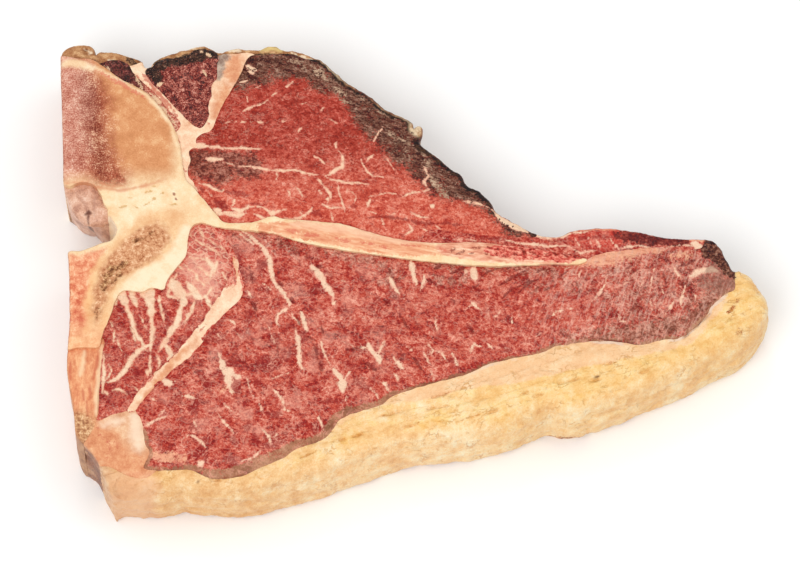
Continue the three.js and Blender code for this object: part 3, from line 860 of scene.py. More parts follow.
cells = f.noise(f.place(along=1.9, turn=-8), 1.0, 2.0, 0.65)
marrow = f.shades(cells, "33 74160f, 42 b93f35, 52 de6d5e, 66 f5ab92")
f.lay(frayed(f, "marrow", torn["Fray"], 0.25, 0.95, 0.7), marrow)
f.lay(frayed(f, "red_edge", light_fray, 0.1, 1.0), red_strip, 0.9)
f.lay(frayed(f, "red", torn["Fray"], 0.35, 0.95), "d9705a", 0.7)
f.lay(frayed(f, "holes", torn["Fray"], 0.35, 0.95, 0.9), "82301e", 0.7)
f.lay(frayed(f, "mark", torn["Fray"], 0.3, 1.0, 0.8), "c8964e", 0.65)
f.lay(frayed(f, "pit", torn["Fray"], 0.2, 0.9, 0.5), "8e4028", 0.75)
f.lay("plate_edge", "d98c68", 0.8)
pits = f.shades(coarse, "34 573322, 46 86573a, 56 b98558, 66 e6bd8c")
f.lay(frayed(f, "dark", torn["Fray"], 0.3, 1.0, 0.7), pits, 0.9)
cut_side = f.shades(speckle, "36 84432e, 45 b0694c, 54 cd8d69, 65 efc49e")
f.lay("wall", cut_side, 0.9)
f.lay(frayed(f, "saw_edge", light_fray, 0.2, 1.0), dense, 0.9)
# painted light: the side of the notch by the spinal canal laid near white
f.lay("canal", f.shades(grain["Tone"], "10 f6d4b0, 90 fff0d8"))
f.lay("foot", f.shades(blotch, "36 e39a70, 50 f2b488, 64 fbd0a4"), 0.7)
height = f.sum(f.times(grain["Height"], 0.25), f.times(f.times(web, f.mask("sponge")), 0.18))
height = f.sum(height, f.times(torn["Speck"], 0.12))
give(bone_look, f.shade, f.step(grain["Grit"], 0.3, 0.7, 0.42, 0.6), height, 0.6, 0.06)
bone.finish(bone_look)

# ---- neck ligament ----
# Elastic yellow orange tissue in upright strands down the left edge, browned at its lower end.
LIGAMENT = [(-132.5, -26.5), (-120.5, -26.5), (-113, -30.5), (-113.5, -35.5), (-114.5, -50), (-115, -61.5),
            (-122.5, -73.5), (-131, -73.5)]


def ligament_relief(at, gap):
    strands = 0.16 * np.sin(at[:, 0] * 2.6 + 0.7 * lumps(at, 6, 4)) + 0.2 * rough(at * (1, 0.25), 1.6, 12)
    return level(-0.6, 0.6, gap) + strands


ligament = Piece("neck_ligament", LIGAMENT, "ligament", ligament_relief)
at = ligament.flat
ligament.masks.update(
    cream=strokes(at, [(2.2, -228, -65, 0, -12, -1, -16, -2, -15, 1, -12), (1.6, -241, -69, -2, -20)], 0.8),
    blood=strokes(at, [
        (1, -231, -72, -1, -10, -1, -9), (0.8, -238, -108, 1, -22), (0.9, -251, -78, 1, -15),
        (0.9, -241, -99, 1, -9), (0.8, -236, -96, 0, -12),
    ], 0.5),
    browned=zone(at, [-257, -122, 13, 4, 9, -3, 6, -6, -1, -12, -9, -13, -17, 0], 3.5, 2),
    wall=ligament.wall,
    # foot: the side at the lower end laid darker grey brown, partly browning and partly painted shade
    foot=ligament.wall * soft_step(-at[:, 1] + 2 * rough(ligament.points, 6, 15), 64, 70))
ligament_look, f = new_finish("ligament_look")
strand = f.noise(f.place(across=4, down=4), 1.0, 4, 0.65)
grain = f.use(tissue, Place=f.place(across=1.6, down=2), Patch=4.0, Contrast=0.8)
tone = f.sum(f.times(grain["Tone"], 0.65), f.times(strand, 0.35))
f.shade = f.shades(tone, "30 cc7452, 48 e6986e, 65 f9be8e")
f.lay("cream", "fcdcb2", 0.8)
f.lay("blood", "c8644a", 0.75)
specked = f.shades(f.noise(f.place(), 1.3, 3.0, 0.7), "36 8c5c40, 46 bb8860, 56 dcae80, 66 f6dab0")
f.lay("browned", specked, 0.85)
f.lay("wall", f.shades(tone, "30 b36d49, 48 cf8c61, 65 eeb88a"), 0.85)
# partly painted shade: the side at the lower end laid grey brown
f.lay("foot", f.shades(tone, "30 855e46, 50 ae8060, 70 d2a67e"), 0.85)
give(ligament_look, f.shade, f.step(grain["Grit"], 0.3, 0.7, 0.4, 0.6),
     f.sum(f.times(strand, 0.5), f.times(grain["Height"], 0.3)), 0.6, 0.1)
ligament.finish(ligament_look)

# ---- small dark muscles ----
# A dark sliver between the bone's shell and its fat, and the small three-cornered muscle beside it.
# Both dried nearly black along the outer side.
muscle, f, place, given = new_group("muscle_grain", ("Tone", "Web", "Fleck", "Pit", "Height"), Bundle=2.0)
drift = f.add("TexNoise", {"Vector": place, "Scale": 0.45, "Detail": 3.0}, "Color")
bent = f.shifted(place, f.scaled(drift, 2.6))
bundles = f.scaled(bent, f.add("Math", {0: 1.0, 1: given["Bundle"]}, operation="DIVIDE"))
edge = f.cells(bundles, 1.0)
body = f.cells(bundles, 1.0, "F1", "Color")
web = f.step(f.sum(edge, f.times(f.noise(place, 0.9), 0.16)), 0.06, 0.2, 1.0, 0.0)
broad = f.noise(place, 5.5)
fine = f.noise(place, 0.9, 3.0, 0.75)
tone = f.sum(f.times(f.less(broad, 0.5), 0.75), f.times(f.less(fine, 0.5), 1.9))
tone = f.sum(tone, f.times(f.less(f.add("SeparateColor", {"Color": body}), 0.5), 0.36))
upright = f.add("VectorMath", {0: bent, 1: (1.6, 0.55, 1.0)}, operation="MULTIPLY")
lying = f.add("VectorMath", {0: bent, 1: (0.6, 1.5, 1.0)}, operation="MULTIPLY")
dashes = f.larger(f.noise(upright, 0.75, 1.5), f.noise(lying, 0.6, 1.5))
where = f.times(f.less(f.noise(place, 3.4, 2.0), 0.5), 0.5)
bulge = f.step(edge, 0.0, 0.45, 0.0, 0.35)
# Fleck: small pale dashes, partly flecks of fat and partly painted wet glints
f.feed(Tone=f.sum(tone, 0.5), Web=web, Fleck=f.step(f.sum(dashes, where), 0.6, 0.76),
       # Pit: dark specks, partly deep red meat and partly painted shade of small pits that the relief does
       # not have
       Pit=f.step(f.noise(bent, 1.5, 2.0), 0.6, 0.72), Height=f.sum(f.times(fine, 0.45), bulge))

dried, f, place, given = new_group("dried_crust", ("Tone", "Height"))
flakes = f.noise(place, 1.1, 5.0, 0.72)
ridges = f.noise(place, 3.6)
f.feed(Tone=f.sum(f.times(flakes, 0.7), f.times(ridges, 0.3)), Height=f.sum(f.times(flakes, 0.8), ridges))


def crags(at):
    """Lumps of dried crust between 0 and 1."""
    return np.clip(0.5 + 0.8 * rough(at, 1.9, 61, 2), 0, 1)


CRUS = [(-118.5, 80.5), (-112.5, 83), (-107, 81.5), (-104.5, 77.5), (-95.5, 68.5), (-92, 63.5), (-87, 58),
        (-86.5, 55.5), (-90.5, 52), (-96, 61), (-104, 69), (-115, 77)]
PSOAS = [(-100, 78), (-97, 80.5), (-94, 83), (-85, 84.5), (-82, 86.5), (-74.5, 86.5), (-72.5, 84),
         (-73, 80.5), (-73, 75.5), (-75, 72.5), (-75, 68), (-76, 64), (-76, 59.5), (-79, 55), (-93, 68.5)]
CRUS_FAT = [
    (1.3, -207, 157, 2, -8, 3, -7), (1.8, -196, 139, 4, -4, 4, -6),
    (1.4, -211, 146, 7, -5, 9, -7, 11, -11, 9, -13), (0.7, -233, 161, 8, -4),
]
PSOAS_CRUST = [
    -206, 159, 9, 7, 12, 4, 14, 2, 15, 5, 12, 0, 2, -8, -4, -3, -8, 0, -9, -3, -11, -2, -9, -2, -4, -6,
    -3, -6, -6, 2, -4, 5,
]
PSOAS_FAT = [(2, -190, 145, 3, 1), (1, -159, 172, 2, 1), (0.9, -154, 170, 3, -2), (0.8, -156, 157, 3, -6)]


def psoas_relief(at, gap):
    crust = zone(at, PSOAS_CRUST, 1, 1)
    return level(-0.2, 1.0, gap) + crust * (0.9 * crags(at) - 0.4) + 0.22 * rough(at, 2.2, 41)


crus = Piece("crus_muscle", CRUS, "dark_meat", lambda at, gap: level(-0.6, 0.6, gap) + 0.2 * rough(at, 2, 19))
crus.masks.update(
    crust=0.45 * zone(crus.flat, [
        -240, 167, 15, 2, 12, -2, 9, -6, 3, -7, -6, -8, -9, 3, -12, 7, -9, 3,
    ], 1.5, 1),
    purple=soft_step(-crus.flat[:, 0] + 2 * rough(crus.flat, 3, 45), 100, 104),
    fat=0.85 * strokes(crus.flat, CRUS_FAT, 0.8, 0.5),
    pink=soft_step(crus.flat[:, 0] + 2 * rough(crus.flat, 3, 43), -102, -98))
psoas = Piece("psoas_minor", PSOAS, "dark_meat", psoas_relief)
psoas.masks.update(
    crust=zone(psoas.flat, PSOAS_CRUST, 1.2, 1.4),
    fat=strokes(psoas.flat, PSOAS_FAT, 0.6))
dark_look, f = new_finish("dark_meat_look")
place = f.place(along=0.6, across=0.6, down=1.6)
grain = f.use(muscle, Place=place, Bundle=1.7)
torn = f.use(frays, Place=place)
crust = f.use(dried, Place=place)
patch = f.noise(f.place(), 4.0, 2.0)
tone = f.sum(f.times(grain["Tone"], 0.6), f.times(patch, 0.4))
f.shade = f.shades(tone, "30 3c090d, 43 6b1c1a, 52 90362e, 61 bb6858, 74 eaaa96")
pink = f.shades(grain["Tone"], "20 a83a30, 45 d2705c, 60 eb9f86, 80 fbcdb0")
f.lay("pink", pink, 0.85)
f.lay(torn["Thread"], "d08a7a", 0.35)
# pale flecks of fat and painted wet glints
f.lay(grain["Fleck"], "dc9f8c", 0.3)
f.lay("purple", f.shades(grain["Tone"], "20 2c0a10, 50 54191f, 80 8a4340"), 0.75)
black = f.shades(crust["Tone"], "36 0f0908, 46 2b1a16, 55 50362c, 68 93735f")
f.lay(frayed(f, "crust", torn["Fray"], 0.3, 0.85), black)
f.lay(frayed(f, "fat", torn["Fray"], 0.35, 0.7, 0.8), "f3cba6")
give(dark_look, f.shade, f.step(torn["Speck"], 0.3, 0.7, 0.3, 0.55),
     f.sum(grain["Height"], f.times(crust["Height"], 0.3)), 0.7, 0.12)
crus.finish(dark_look)
psoas.finish(dark_look)

# ---- tenderloin ----
# The fillet: fine grained lean meat, cut across, with thin veins of fat. Its outer side dried to a dark
# brown crust under a thin skin, and the corner by the bone turned grey brown.
outer_skin, f, place, given = new_group("outer_skin", ("Colour", "Cover"), Lift=0.0)
broad = f.noise(place, 15.0, 3.0, 0.55)
middle = f.noise(place, 4.0, 4.0, 0.65)
fine = f.noise(place, 0.7, 3.0, 0.7)
tone = f.sum(f.times(f.less(broad, 0.5), 1.5), f.times(f.less(middle, 0.5), 0.55))
tone = f.sum(f.sum(tone, f.times(f.less(fine, 0.5), 0.55)), f.sum(given["Lift"], 0.5))
browns = f.shades(tone, "22 40201a, 36 70402f, 48 9a664b, 60 c29872, 76 ead0ac")
f.feed(Colour=browns, Cover=f.step(f.noise(place, 8.0, 4.0), 0.4, 0.6))

FILLET = [(-60.5, 84.5), (-55.5, 85), (-45.5, 85.5), (-37.5, 83), (-32, 84), (-10, 70), (8, 60), (22, 42),
          (32, 30), (45, 15.5), (46.5, 11), (40.5, 10.5), (35, 11), (16.5, 12.5), (7, 13.5), (-4, 5.5),
          (-30, 11.5), (-68, 14.5), (-74, 18.5), (-80, 25), (-80.5, 29), (-81, 32.5), (-83, 35),
          (-83.5, 38.5), (-82.5, 41.5), (-83, 45.5), (-80.5, 47.5), (-80.5, 50), (-78.5, 52.5),
          (-75.5, 53.5), (-71.5, 62.5), (-65, 75.5)]
FILLET_CRUST = [
    -132, 142, 12, 1, 12, 4, 17, 5, 12, -3, 11, -9, 12, -5, 10, -11, 8, -14, 9, -11, 9, -12, 9, -9, 9, -4,
    10, -10, 9, -8, 12, -6, 13, -2, 11, -2, 7, -8, 6, -8, 9, -8, 36, 8, -97, 111, -75, 41, -68, 3, -10, -21,
]
FILLET_BROWN = [
    -168, 90, 14, 1, 17, 0, 14, -3, 9, -5, 4, -6, -4, -7, -9, -4, -8, 4, -6, -6, -5, -3, -8, 3, -6, 3,
    -8, 7, -6, 6,
]
FILLET_BLOND = [
    (1.8, -17, 106, 7, -8), (1.6, -5, 92, 6, -9), (2.4, -94, 166, 7, -1, 8, -6),
    (3.2, -75, 159, 8, -5, 6, -7), (3, -56, 142, 7, -6), (2.4, -29, 131, 6, -7, 6, -3),
    (1.6, 7, 92, 4, -7, 5, -10), (3, 14, 70, 6, -8, 6, -9), (1.2, -53, 132, 9, -4), (2, -41, 139, 6, -5),
    (1.6, -10, 103, 9, -8),
]
FILLET_VEINS = [
    (2.6, -165, 96, 7, -1, 6, -1), (1.3, -154, 94, 15, -2, 15, 0, 13, -1), (2, -153, 84, 6, -1, 6, 0),
    (1.2, -140, 81, 6, -2, 3, -2), (1, -130, 77, 10, 0, 9, -1, 7, -2),
    (1.3, -111, 76, 17, -2, 11, 0, 9, -3, 8, -1), (1.4, -66, 70, 6, 1, 3, 3, 5, 3, 1, 5, -1, 4, -2, 3),
    (1, -66, 70, 7, -3, 10, -2, 8, -1, 10, -1), (0.8, -101, 74, 1, -4, -1, -4),
    (1.3, -126, 123, 5, 3, 5, 2), (1, -116, 128, 4, 1, 5, 3), (0.9, -123, 135, 1, -5), (1, -140, 113, 4, 1),
    (0.9, -133, 112, 3, 2), (1, -128, 113, 4, 1), (0.9, -121, 114, 3, 0), (0.9, -115, 114, 5, 0),
    (1.6, -97, 115, 3, -2), (0.9, -104, 135, 4, 3), (0.8, -94, 142, 6, 5), (0.9, -85, 105, 3, 5),
    (0.8, -68, 122, 3, 4), (0.7, -61, 116, 5, -3), (0.7, -83, 128, 6, 1), (1.1, -73, 87, 5, -4, 4, -3),
    (0.8, -56, 92, 1, 5), (1, -33, 80, 2, 3, 3, 4), (1.2, -70, 69, 3, -5, 4, -5, 3, -4, 0, -4, -3, -3),
    (1.7, -62, 53, 0, -3), (0.9, -55, 65, 1, -8, 3, -10, 2, -6), (1.1, -86, 61, 3, -4, 2, -4, 2, -3),
    (1.6, -83, 55, 1, 0), (1.3, -158, 65, 7, -3, 5, -3, 4, -2, 3, 3), (0.7, -92, 49, 5, 3, 4, -3, 5, -1),
    (2.6, -165, 64, 5, -6), (3, -147, 44, 6, -4), (2.4, -155, 48, 5, -3), (2, -139, 40, 9, -2, 7, 2),
    (1.2, -118, 40, 7, -4, 8, -3), (1, -153, 59, 5, -5), (1.1, -83, 41, 5, -5), (1, -69, 59, 3, -5),
    (1, -93, 59, 3, -6), (2, -133, 44, 6, -2, 5, 2, 2, 3), (1.5, -131, 51, -2, -5),
    (1, -123, 46, 7, -1, 7, -1), (2.6, -106, 40, 5, 0), (1.2, -111, 44, 8, -4, 10, 3),
    (1.2, -103, 40, 2, -6), (1, -147, 40, 9, 1, 11, -1), (1.4, -94, 36, 11, 0, 6, 3, 3, 5),
    (1.1, -68, 48, 8, -4, 8, 0), (1, -60, 41, 2, -7), (0.8, -49, 59, 5, -2, 4, -4, -2, -5),
    (0.9, -37, 83, 3, -9, 5, -4, 9, -1), (0.9, -22, 88, 5, -5, 5, -9), (1, -21, 110, -4, -7, -4, -7),
    (1.4, 10, 78, 3, -8, -3, -5, 3, -6), (1.2, -8, 53, 7, 2, 8, 2, 8, 2), (1, -31, 53, 12, 3, 11, -1),
    (1.3, -30, 51, -3, -7), (1.1, 38, 50, 10, -1, 9, -3), (0.9, 57, 46, 6, -6, 3, -4),
    (1.1, -1, 40, 8, -3, 9, -1), (0.9, -17, 38, 6, 2), (0.8, -31, 41, 5, -1), (1.9, 15, 46, 2, -2),
    (0.9, -2, 31, 3, -4, -5, -4), (0.9, 17, 31, 5, -4), (1, 8, 28, 8, -4), (0.8, -22, 36, 2, -6),
]
FILLET_SKIN_TAGS = [
    (2.6, 62, 40, 4, -4, 6, -4, 8, -4, 7, -3), (2.2, -124, 161, 3, -3, 4, -2), (1.4, -123, 156, 5, -2),
    (1.4, -129, 147, 6, 2), (0.8, -117, 142, 5, 2),
]
FILLET_CLEFTS = [
    (1.3, -32, 37, 13, 0, 11, -1, 9, -2), (1.6, -1, 34, 11, -2, 8, -1), (1.1, 18, 31, 11, 1, 10, 0),
    (0.8, -29, 33, 3, -6), (1.2, 16, 116, -9, -8),
]
FILLET_BLOOD = [
    (2.2, -138, 57, 8, -2, 9, -1), (1.4, -120, 48, 9, -2), (2, -75, 41, 9, -3), (1.6, -83, 33, 5, -1),
    (1.4, -8, 23, 4, -2), (1.8, -45, 46, 7, -2), (1.4, -26, 44, 7, -3),
]
FILLET_DARK = [
    (1.8, -144, 60, 2, -2), (3.4, -147, 50, 6, -3, 5, -3), (1.6, -128, 75, 3, -1), (1.4, -137, 81, 3, -3),
    (1.4, -155, 70, 5, -3), (1.2, -158, 62, 4, -5),
]


def fillet_relief(at, gap):
    x, y = at.T
    height = level(-0.5, 1.4, gap) + 0.3 * np.sin(0.08 * x + 0.22 * y) * np.sin(0.05 * x - 0.09 * y)
    height -= hollow(at, 22, 18, 0.8, 9)
    height -= hollow(at, -60, 72, 0.5, 10)
    crust = zone(at, FILLET_CRUST, 1.5, 1.5)
    flakes = crust * (0.5 * crags(at * (0.6, 1.2)) - 0.3)
    height += 0.11 * rough(at * (0.4, 1), 1.3, 71) * (1 - crust) + flakes
    height += 0.1 * strokes(at, FILLET_VEINS) - 0.35 * strokes(at, FILLET_CLEFTS, 0.7)
    return height + 0.35 * strokes(at, FILLET_SKIN_TAGS, 0.4)


def dried_side(points):
    """Shallow swells and wrinkles on the dried outer side."""
    return 0.6 * rough(points * (1, 1, 0.7), 13, 87, 2) + 0.38 * rough(points * (1, 1, 0.6), 4.5, 81, 3)


def below_edge(piece):
    """Where a dried side lies a few millimetres or more under its upper edge."""
    return soft_step(piece.depth + 1.5 * rough(piece.points, 6, 85), 1.5, 6)


def fillet_side(points):
    """A scrap of fat hangs from the upper edge only."""
    from_scrap = (points[:, 0] - 2.5) ** 2 + (points[:, 1] - 55) ** 2
    return dried_side(points) - 2.2 * np.exp(-from_scrap / 7) * soft_step(THICKNESS - points[:, 2], 3, 12)


fillet = Piece("tenderloin", FILLET, "fillet_meat", fillet_relief, fillet_side)
at = fillet.flat
beside = fillet.rim_gap + 0.5 * rough(at, 2.5, 83)
fillet.masks.update(
    crust=np.maximum(zone(at, FILLET_CRUST, 3.4, 1.6, grain=6.0), fillet.wall),
    brown=zone(at, FILLET_BROWN, 3.0, 1.4),
    blond=strokes(at, FILLET_BLOND, 2.0, 0.8),
    fat=np.maximum(strokes(at, FILLET_VEINS, 1.0, 0.35, thin=1.05),
                   strokes(at, FILLET_SKIN_TAGS, 0.6)) * fillet.cut_face,
    black=soft_step(beside, 3.2, 1.2) * (1 - 0.7 * fillet.wall),
    tag=hollow(at, 2.8, 55, 1, 3) * soft_step(fillet.depth, 12, 5))
skin = soft_step(beside, 1.3, 0.7) * soft_step(-at[:, 0], -2, 2)
fillet.masks.update(
    skin=np.where(fillet.wall > 0.99, below_edge(fillet), skin),
    blood=strokes(at, FILLET_BLOOD, 0.7, 0.8),
    dark=np.maximum(strokes(at, FILLET_CLEFTS, 0.5), 0.9 * strokes(at, FILLET_DARK, 0.7, 0.7)))
fillet.masks["warm"] = soft_step(-at[:, 1], -52, -22) * (1 - fillet.masks["crust"])
fillet.masks["wall"] = fillet.wall

fillet_look, f = new_finish("fillet_look")
grain = f.use(muscle, Place=f.place(along=1.25, down=3, turn=-6), Bundle=1.0)
torn = f.use(frays, Place=f.place(along=1.3, down=3, turn=-10))
even = f.use(tissue, Place=f.place(down=3), Patch=9.0, Contrast=0.8)
crust = f.use(dried, Place=f.place(along=3.0, across=1.0, turn=-16, down=2))
tone = f.sum(f.times(grain["Tone"], 0.6), f.times(even["Tone"], 0.4))
deep = f.shades(tone, "15 741610, 38 9a3024, 52 b04235, 70 ca5c4c, 90 ea9a88")
warm = f.shades(tone, "15 96291d, 38 c24b3a, 52 d4644f, 70 e98871, 90 f9b9a4")
f.shade = f.blend(f.mask("warm"), deep, warm)
# pale flecks of fat and painted wet glints
f.lay(grain["Fleck"], "f0ab94", 0.42)
f.lay(torn["Thread"], "eba18c", 0.3)
f.lay(frayed(f, "blood", torn["Fray"], 0.3, 0.9), "8e1d14", 0.6)
browned = f.shades(grain["Tone"], "20 421e16, 50 763e30, 80 b07665")
f.lay(frayed(f, "brown", torn["Fray"], 0.15, 0.95), browned, 0.85)
dried_tone = f.sum(f.times(crust["Tone"], 0.75), f.times(torn["Speck"], 0.25))
dry = f.shades(dried_tone, "36 250e09, 44 4b241a, 50 704436, 57 99705f, 68 d4b29c")
f.lay(frayed(f, "crust", torn["Fray"], 0.15, 0.9), dry)
blond = f.shades(dried_tone, "36 8a6049, 48 c09a80, 60 e6c8aa")
f.lay(frayed(f, "blond", torn["Fray"], 0.35, 0.95), blond, 0.85)
black = f.shades(dried_tone, "36 160906, 48 301c13, 60 5c4030")
f.lay(f.times(frayed(f, "black", torn["Fray"], 0.35, 0.75), f.mask("crust")), black)
fat = frayed(f, "fat", torn["Fray"], 0.38, 0.8, 0.55)
fat_tone = f.sum(f.mask("fat"), f.times(f.less(torn["Speck"], 0.5), 0.6))
f.lay(fat, f.shades(fat_tone, "50 e9a18b, 75 f4bfa1, 100 fcd8b6"), 0.95)
f.lay(frayed(f, "dark", torn["Fray"], 0.3, 0.9), "86130f", 0.65)
lift = f.times(f.less(1.0, f.mask("wall")), 0.14)
outside = f.use(outer_skin, Place=f.place(), Lift=f.sum(lift, f.times(f.mask("tag"), 0.2)))
cover = f.times(f.mask("skin"), f.sum(f.times(outside["Cover"], 0.3), 0.65))
cover = f.larger(cover, f.step(f.mask("tag"), 0.1, 0.4))
f.lay(cover, outside["Colour"])
height = f.sum(f.times(grain["Height"], 0.8), f.times(f.times(crust["Height"], f.mask("crust")), 0.8))
height = f.sum(height, f.times(fat, 0.12))
give(fillet_look, f.shade,
     f.sum(f.step(torn["Speck"], 0.3, 0.7, 0.34, 0.54), f.times(f.mask("crust"), 0.12)), height, 0.65, 0.08)
fillet.finish(fillet_look)

# ---- flank strip, multifidus and strip loin ----
# The coarser muscles on the loin side. The thin strip lies over the tip of the side process, the
# multifidus is bundled by thick cream seams, and the strip loin is well marbled, greyed along its edges
# and dried to a dark knob at its tail.
FLANK = [(-3, 8), (0, 15), (8, 18), (16, 16), (35, 14.5), (45, 16), (60, 18), (85, 17), (108, 13.5),
         (108.5, 7.5), (104.5, 5.5), (90.5, 6.5), (69.5, 3.5), (62.5, 0.5), (25.5, 3.5), (7, 5.5)]
MULTIFIDUS = [(-115.5, -30.5), (-118.5, -14.5), (-100.5, 9.5), (-84, 21.5), (-72.5, 16.5), (-65.5, 0.5),
              (-66, -10.5), (-76, -23.5), (-91, -42.5), (-103, -57.5), (-109.5, -60), (-115, -62)]
LOIN = [(-74.5, 12.5), (-65.5, 17.5), (3.5, 7.5), (40.5, 5.5), (70, 7), (88.5, 9.5), (107, 7.5),
        (109, 16), (118, 12), (122, 0.5), (120, -3.5), (119.5, -10.5), (116.5, -12), (111, -17),
        (109, -20.5), (99, -29.5), (94.5, -30), (83.5, -32.5), (78.5, -31.5), (67.5, -31), (53.5, -33),
        (47.5, -35.5), (29, -40), (22.5, -43), (-7.5, -53), (-11.5, -56), (-25.5, -61.5), (-31.5, -69),
        (-41.5, -73), (-46.5, -76.5), (-56.5, -81), (-61.5, -83.5), (-71.5, -84.5), (-76, -83.5),
        (-80, -81.5), (-92, -81.5), (-97.5, -80.5), (-95.5, -74.5), (-97, -71.5), (-99, -61),
        (-101, -57.5), (-72.5, -18.5), (-69, -6.5), (-70, 5.5)]
LOIN_SEAM = [(-72.5, 14.5), (-65, 3.5), (-63.5, -2.5), (-62, -8.5), (-63, -13.5), (-71.5, -23),
             (-81.5, -37.5), (-86.5, -41), (-99, -55), (-101.5, -58.5), (-104, -58.5), (-95, -44),
             (-86.5, -35.5), (-70.5, -11.5), (-66.5, -2), (-70.5, 9), (-74.5, 14)]
FLANK_FAT = [
    (3.2, 84, 24, 10, -1, 11, 0, 10, 4, 14, 2), (3, 207, 17, 5, -2, 5, -4),
    (1.3, 66, 19, 19, -3, 14, -2, 19, 0), (1.2, 115, 15, 10, -6, 12, 2), (1, 147, 24, 2, -7, 5, -4),
    (0.9, 131, 22, 3, -8), (0.9, 122, 20, 3, -6), (1.5, 155, 12, 15, 2, 18, -2),
    (1.3, 188, 13, 12, 2, 10, -1), (1.6, 96, 20, 12, 1, 12, 3, 12, 2), (0.8, 25, 20, 19, -1, 15, 0),
    (1.2, 167, 19, 10, -3), (1, 137, 19, 3, -7),
]
FLANK_CRUST = [157, 28, 21, -1, 29, -4, 0, -6, -10, -3, -12, 1, -15, 1, -12, 1, -7, 5]
BUNDLE_SEAMS = [
    (5, -217, -17, 2, -6, 2, -6), (3.4, -214, -25, 4, -9), (2, -211, -31, 4, -11, 3, -11, 6, -11, 4, -7),
    (1.8, -218, -26, 0, -7), (6, -198, -13, 3, -10, 2, -6), (4.2, -194, -25, 2, -11),
    (3, -192, -33, 1, -11), (2, -191, -41, 1, -12, -1, -8, 0, -8), (2.6, -206, -18, 0, -8, 3, -8),
    (5, -177, -13, 5, -10, 4, -5), (3.4, -169, -26, 1, -8), (2.4, -169, -32, -2, -8, -2, -8, -5, -8,
    -5, -10, -3, -5), (3, -165, -15, 6, -10, 4, -3), (1.3, -186, -26, 2, -13, 3, -9), (2.4, -191, -64,
    -8, -5, -6, -5, -4, -9, -5, -6, -5, -4, -4, -1), (2.6, -183, -63, 4, -6, 5, -5, -3, -8),
    (2.4, -173, -71, -6, -7), (1.1, -191, -69, -1, -11, 2, -11), (2.2, -194, -85, 2, -4),
    (1.3, -219, -101, 5, 1, 5, -3), (1.1, -226, -100, 4, -4), (1.2, -203, -64, -2, 8, -2, 6),
    (1.2, -223, -78, 3, -8, -4, -5), (1, -206, -96, 7, -6), (1.4, -227, -71, 1, -15, -1, -16),
    (1, -188, -71, 3, -7, -1, -8), (0.9, -216, -61, 3, -10), (1.1, -167, 27, 6, -8, 7, -5, 9, -5, 5, -6),
    (1, -158, 30, 4, -8, 8, -7, 9, -4), (0.9, -148, 30, 6, -8, 6, -8), (1, -165, 6, 8, -2, 9, -3),
    (1.3, -159, -2, 7, -5, 3, -6), (1.1, -168, 1, 6, -8, 9, -11), (2, -152, 4, 6, -8, -3, -9),
    (1.3, -173, -7, -4, -10, -3, -8), (1.8, -169, -26, 7, 1, 6, -4), (1.2, -146, -18, -6, -8, 5, -8),
    (1, -162, -17, 4, -6), (1.2, -143, 1, -3, -11), (1.7, -159, -31, -4, -9, -5, -7), (1.1, -174, 1, 6, -6),
    (1, -143, 25, 6, -6), (1.2, -152, -29, 6, -8), (1, -140, -7, 5, -8), (1.4, -181, -26, 7, -2, 6, -5),
    (1, -222, -45, 4, -8, -1, -10), (0.9, -200, -42, 5, -10),
]
BUNDLE_BLOOD = [
    (3, -201, -47, 1, -14), (2.4, -208, -71, -6, -9), (2.4, -198, -82, -4, -11), (2.4, -178, -48, -3, -11),
    (2.6, -217, -96, -4, -9), (3, -222, -47, 6, -6), (3.4, -226, -58, 1, -6), (2, -185, -34, 4, -5),
    (1.6, -151, 25, 6, -3), (2, -214, -66, 4, -8), (2, -159, -42, 6, -5),
]
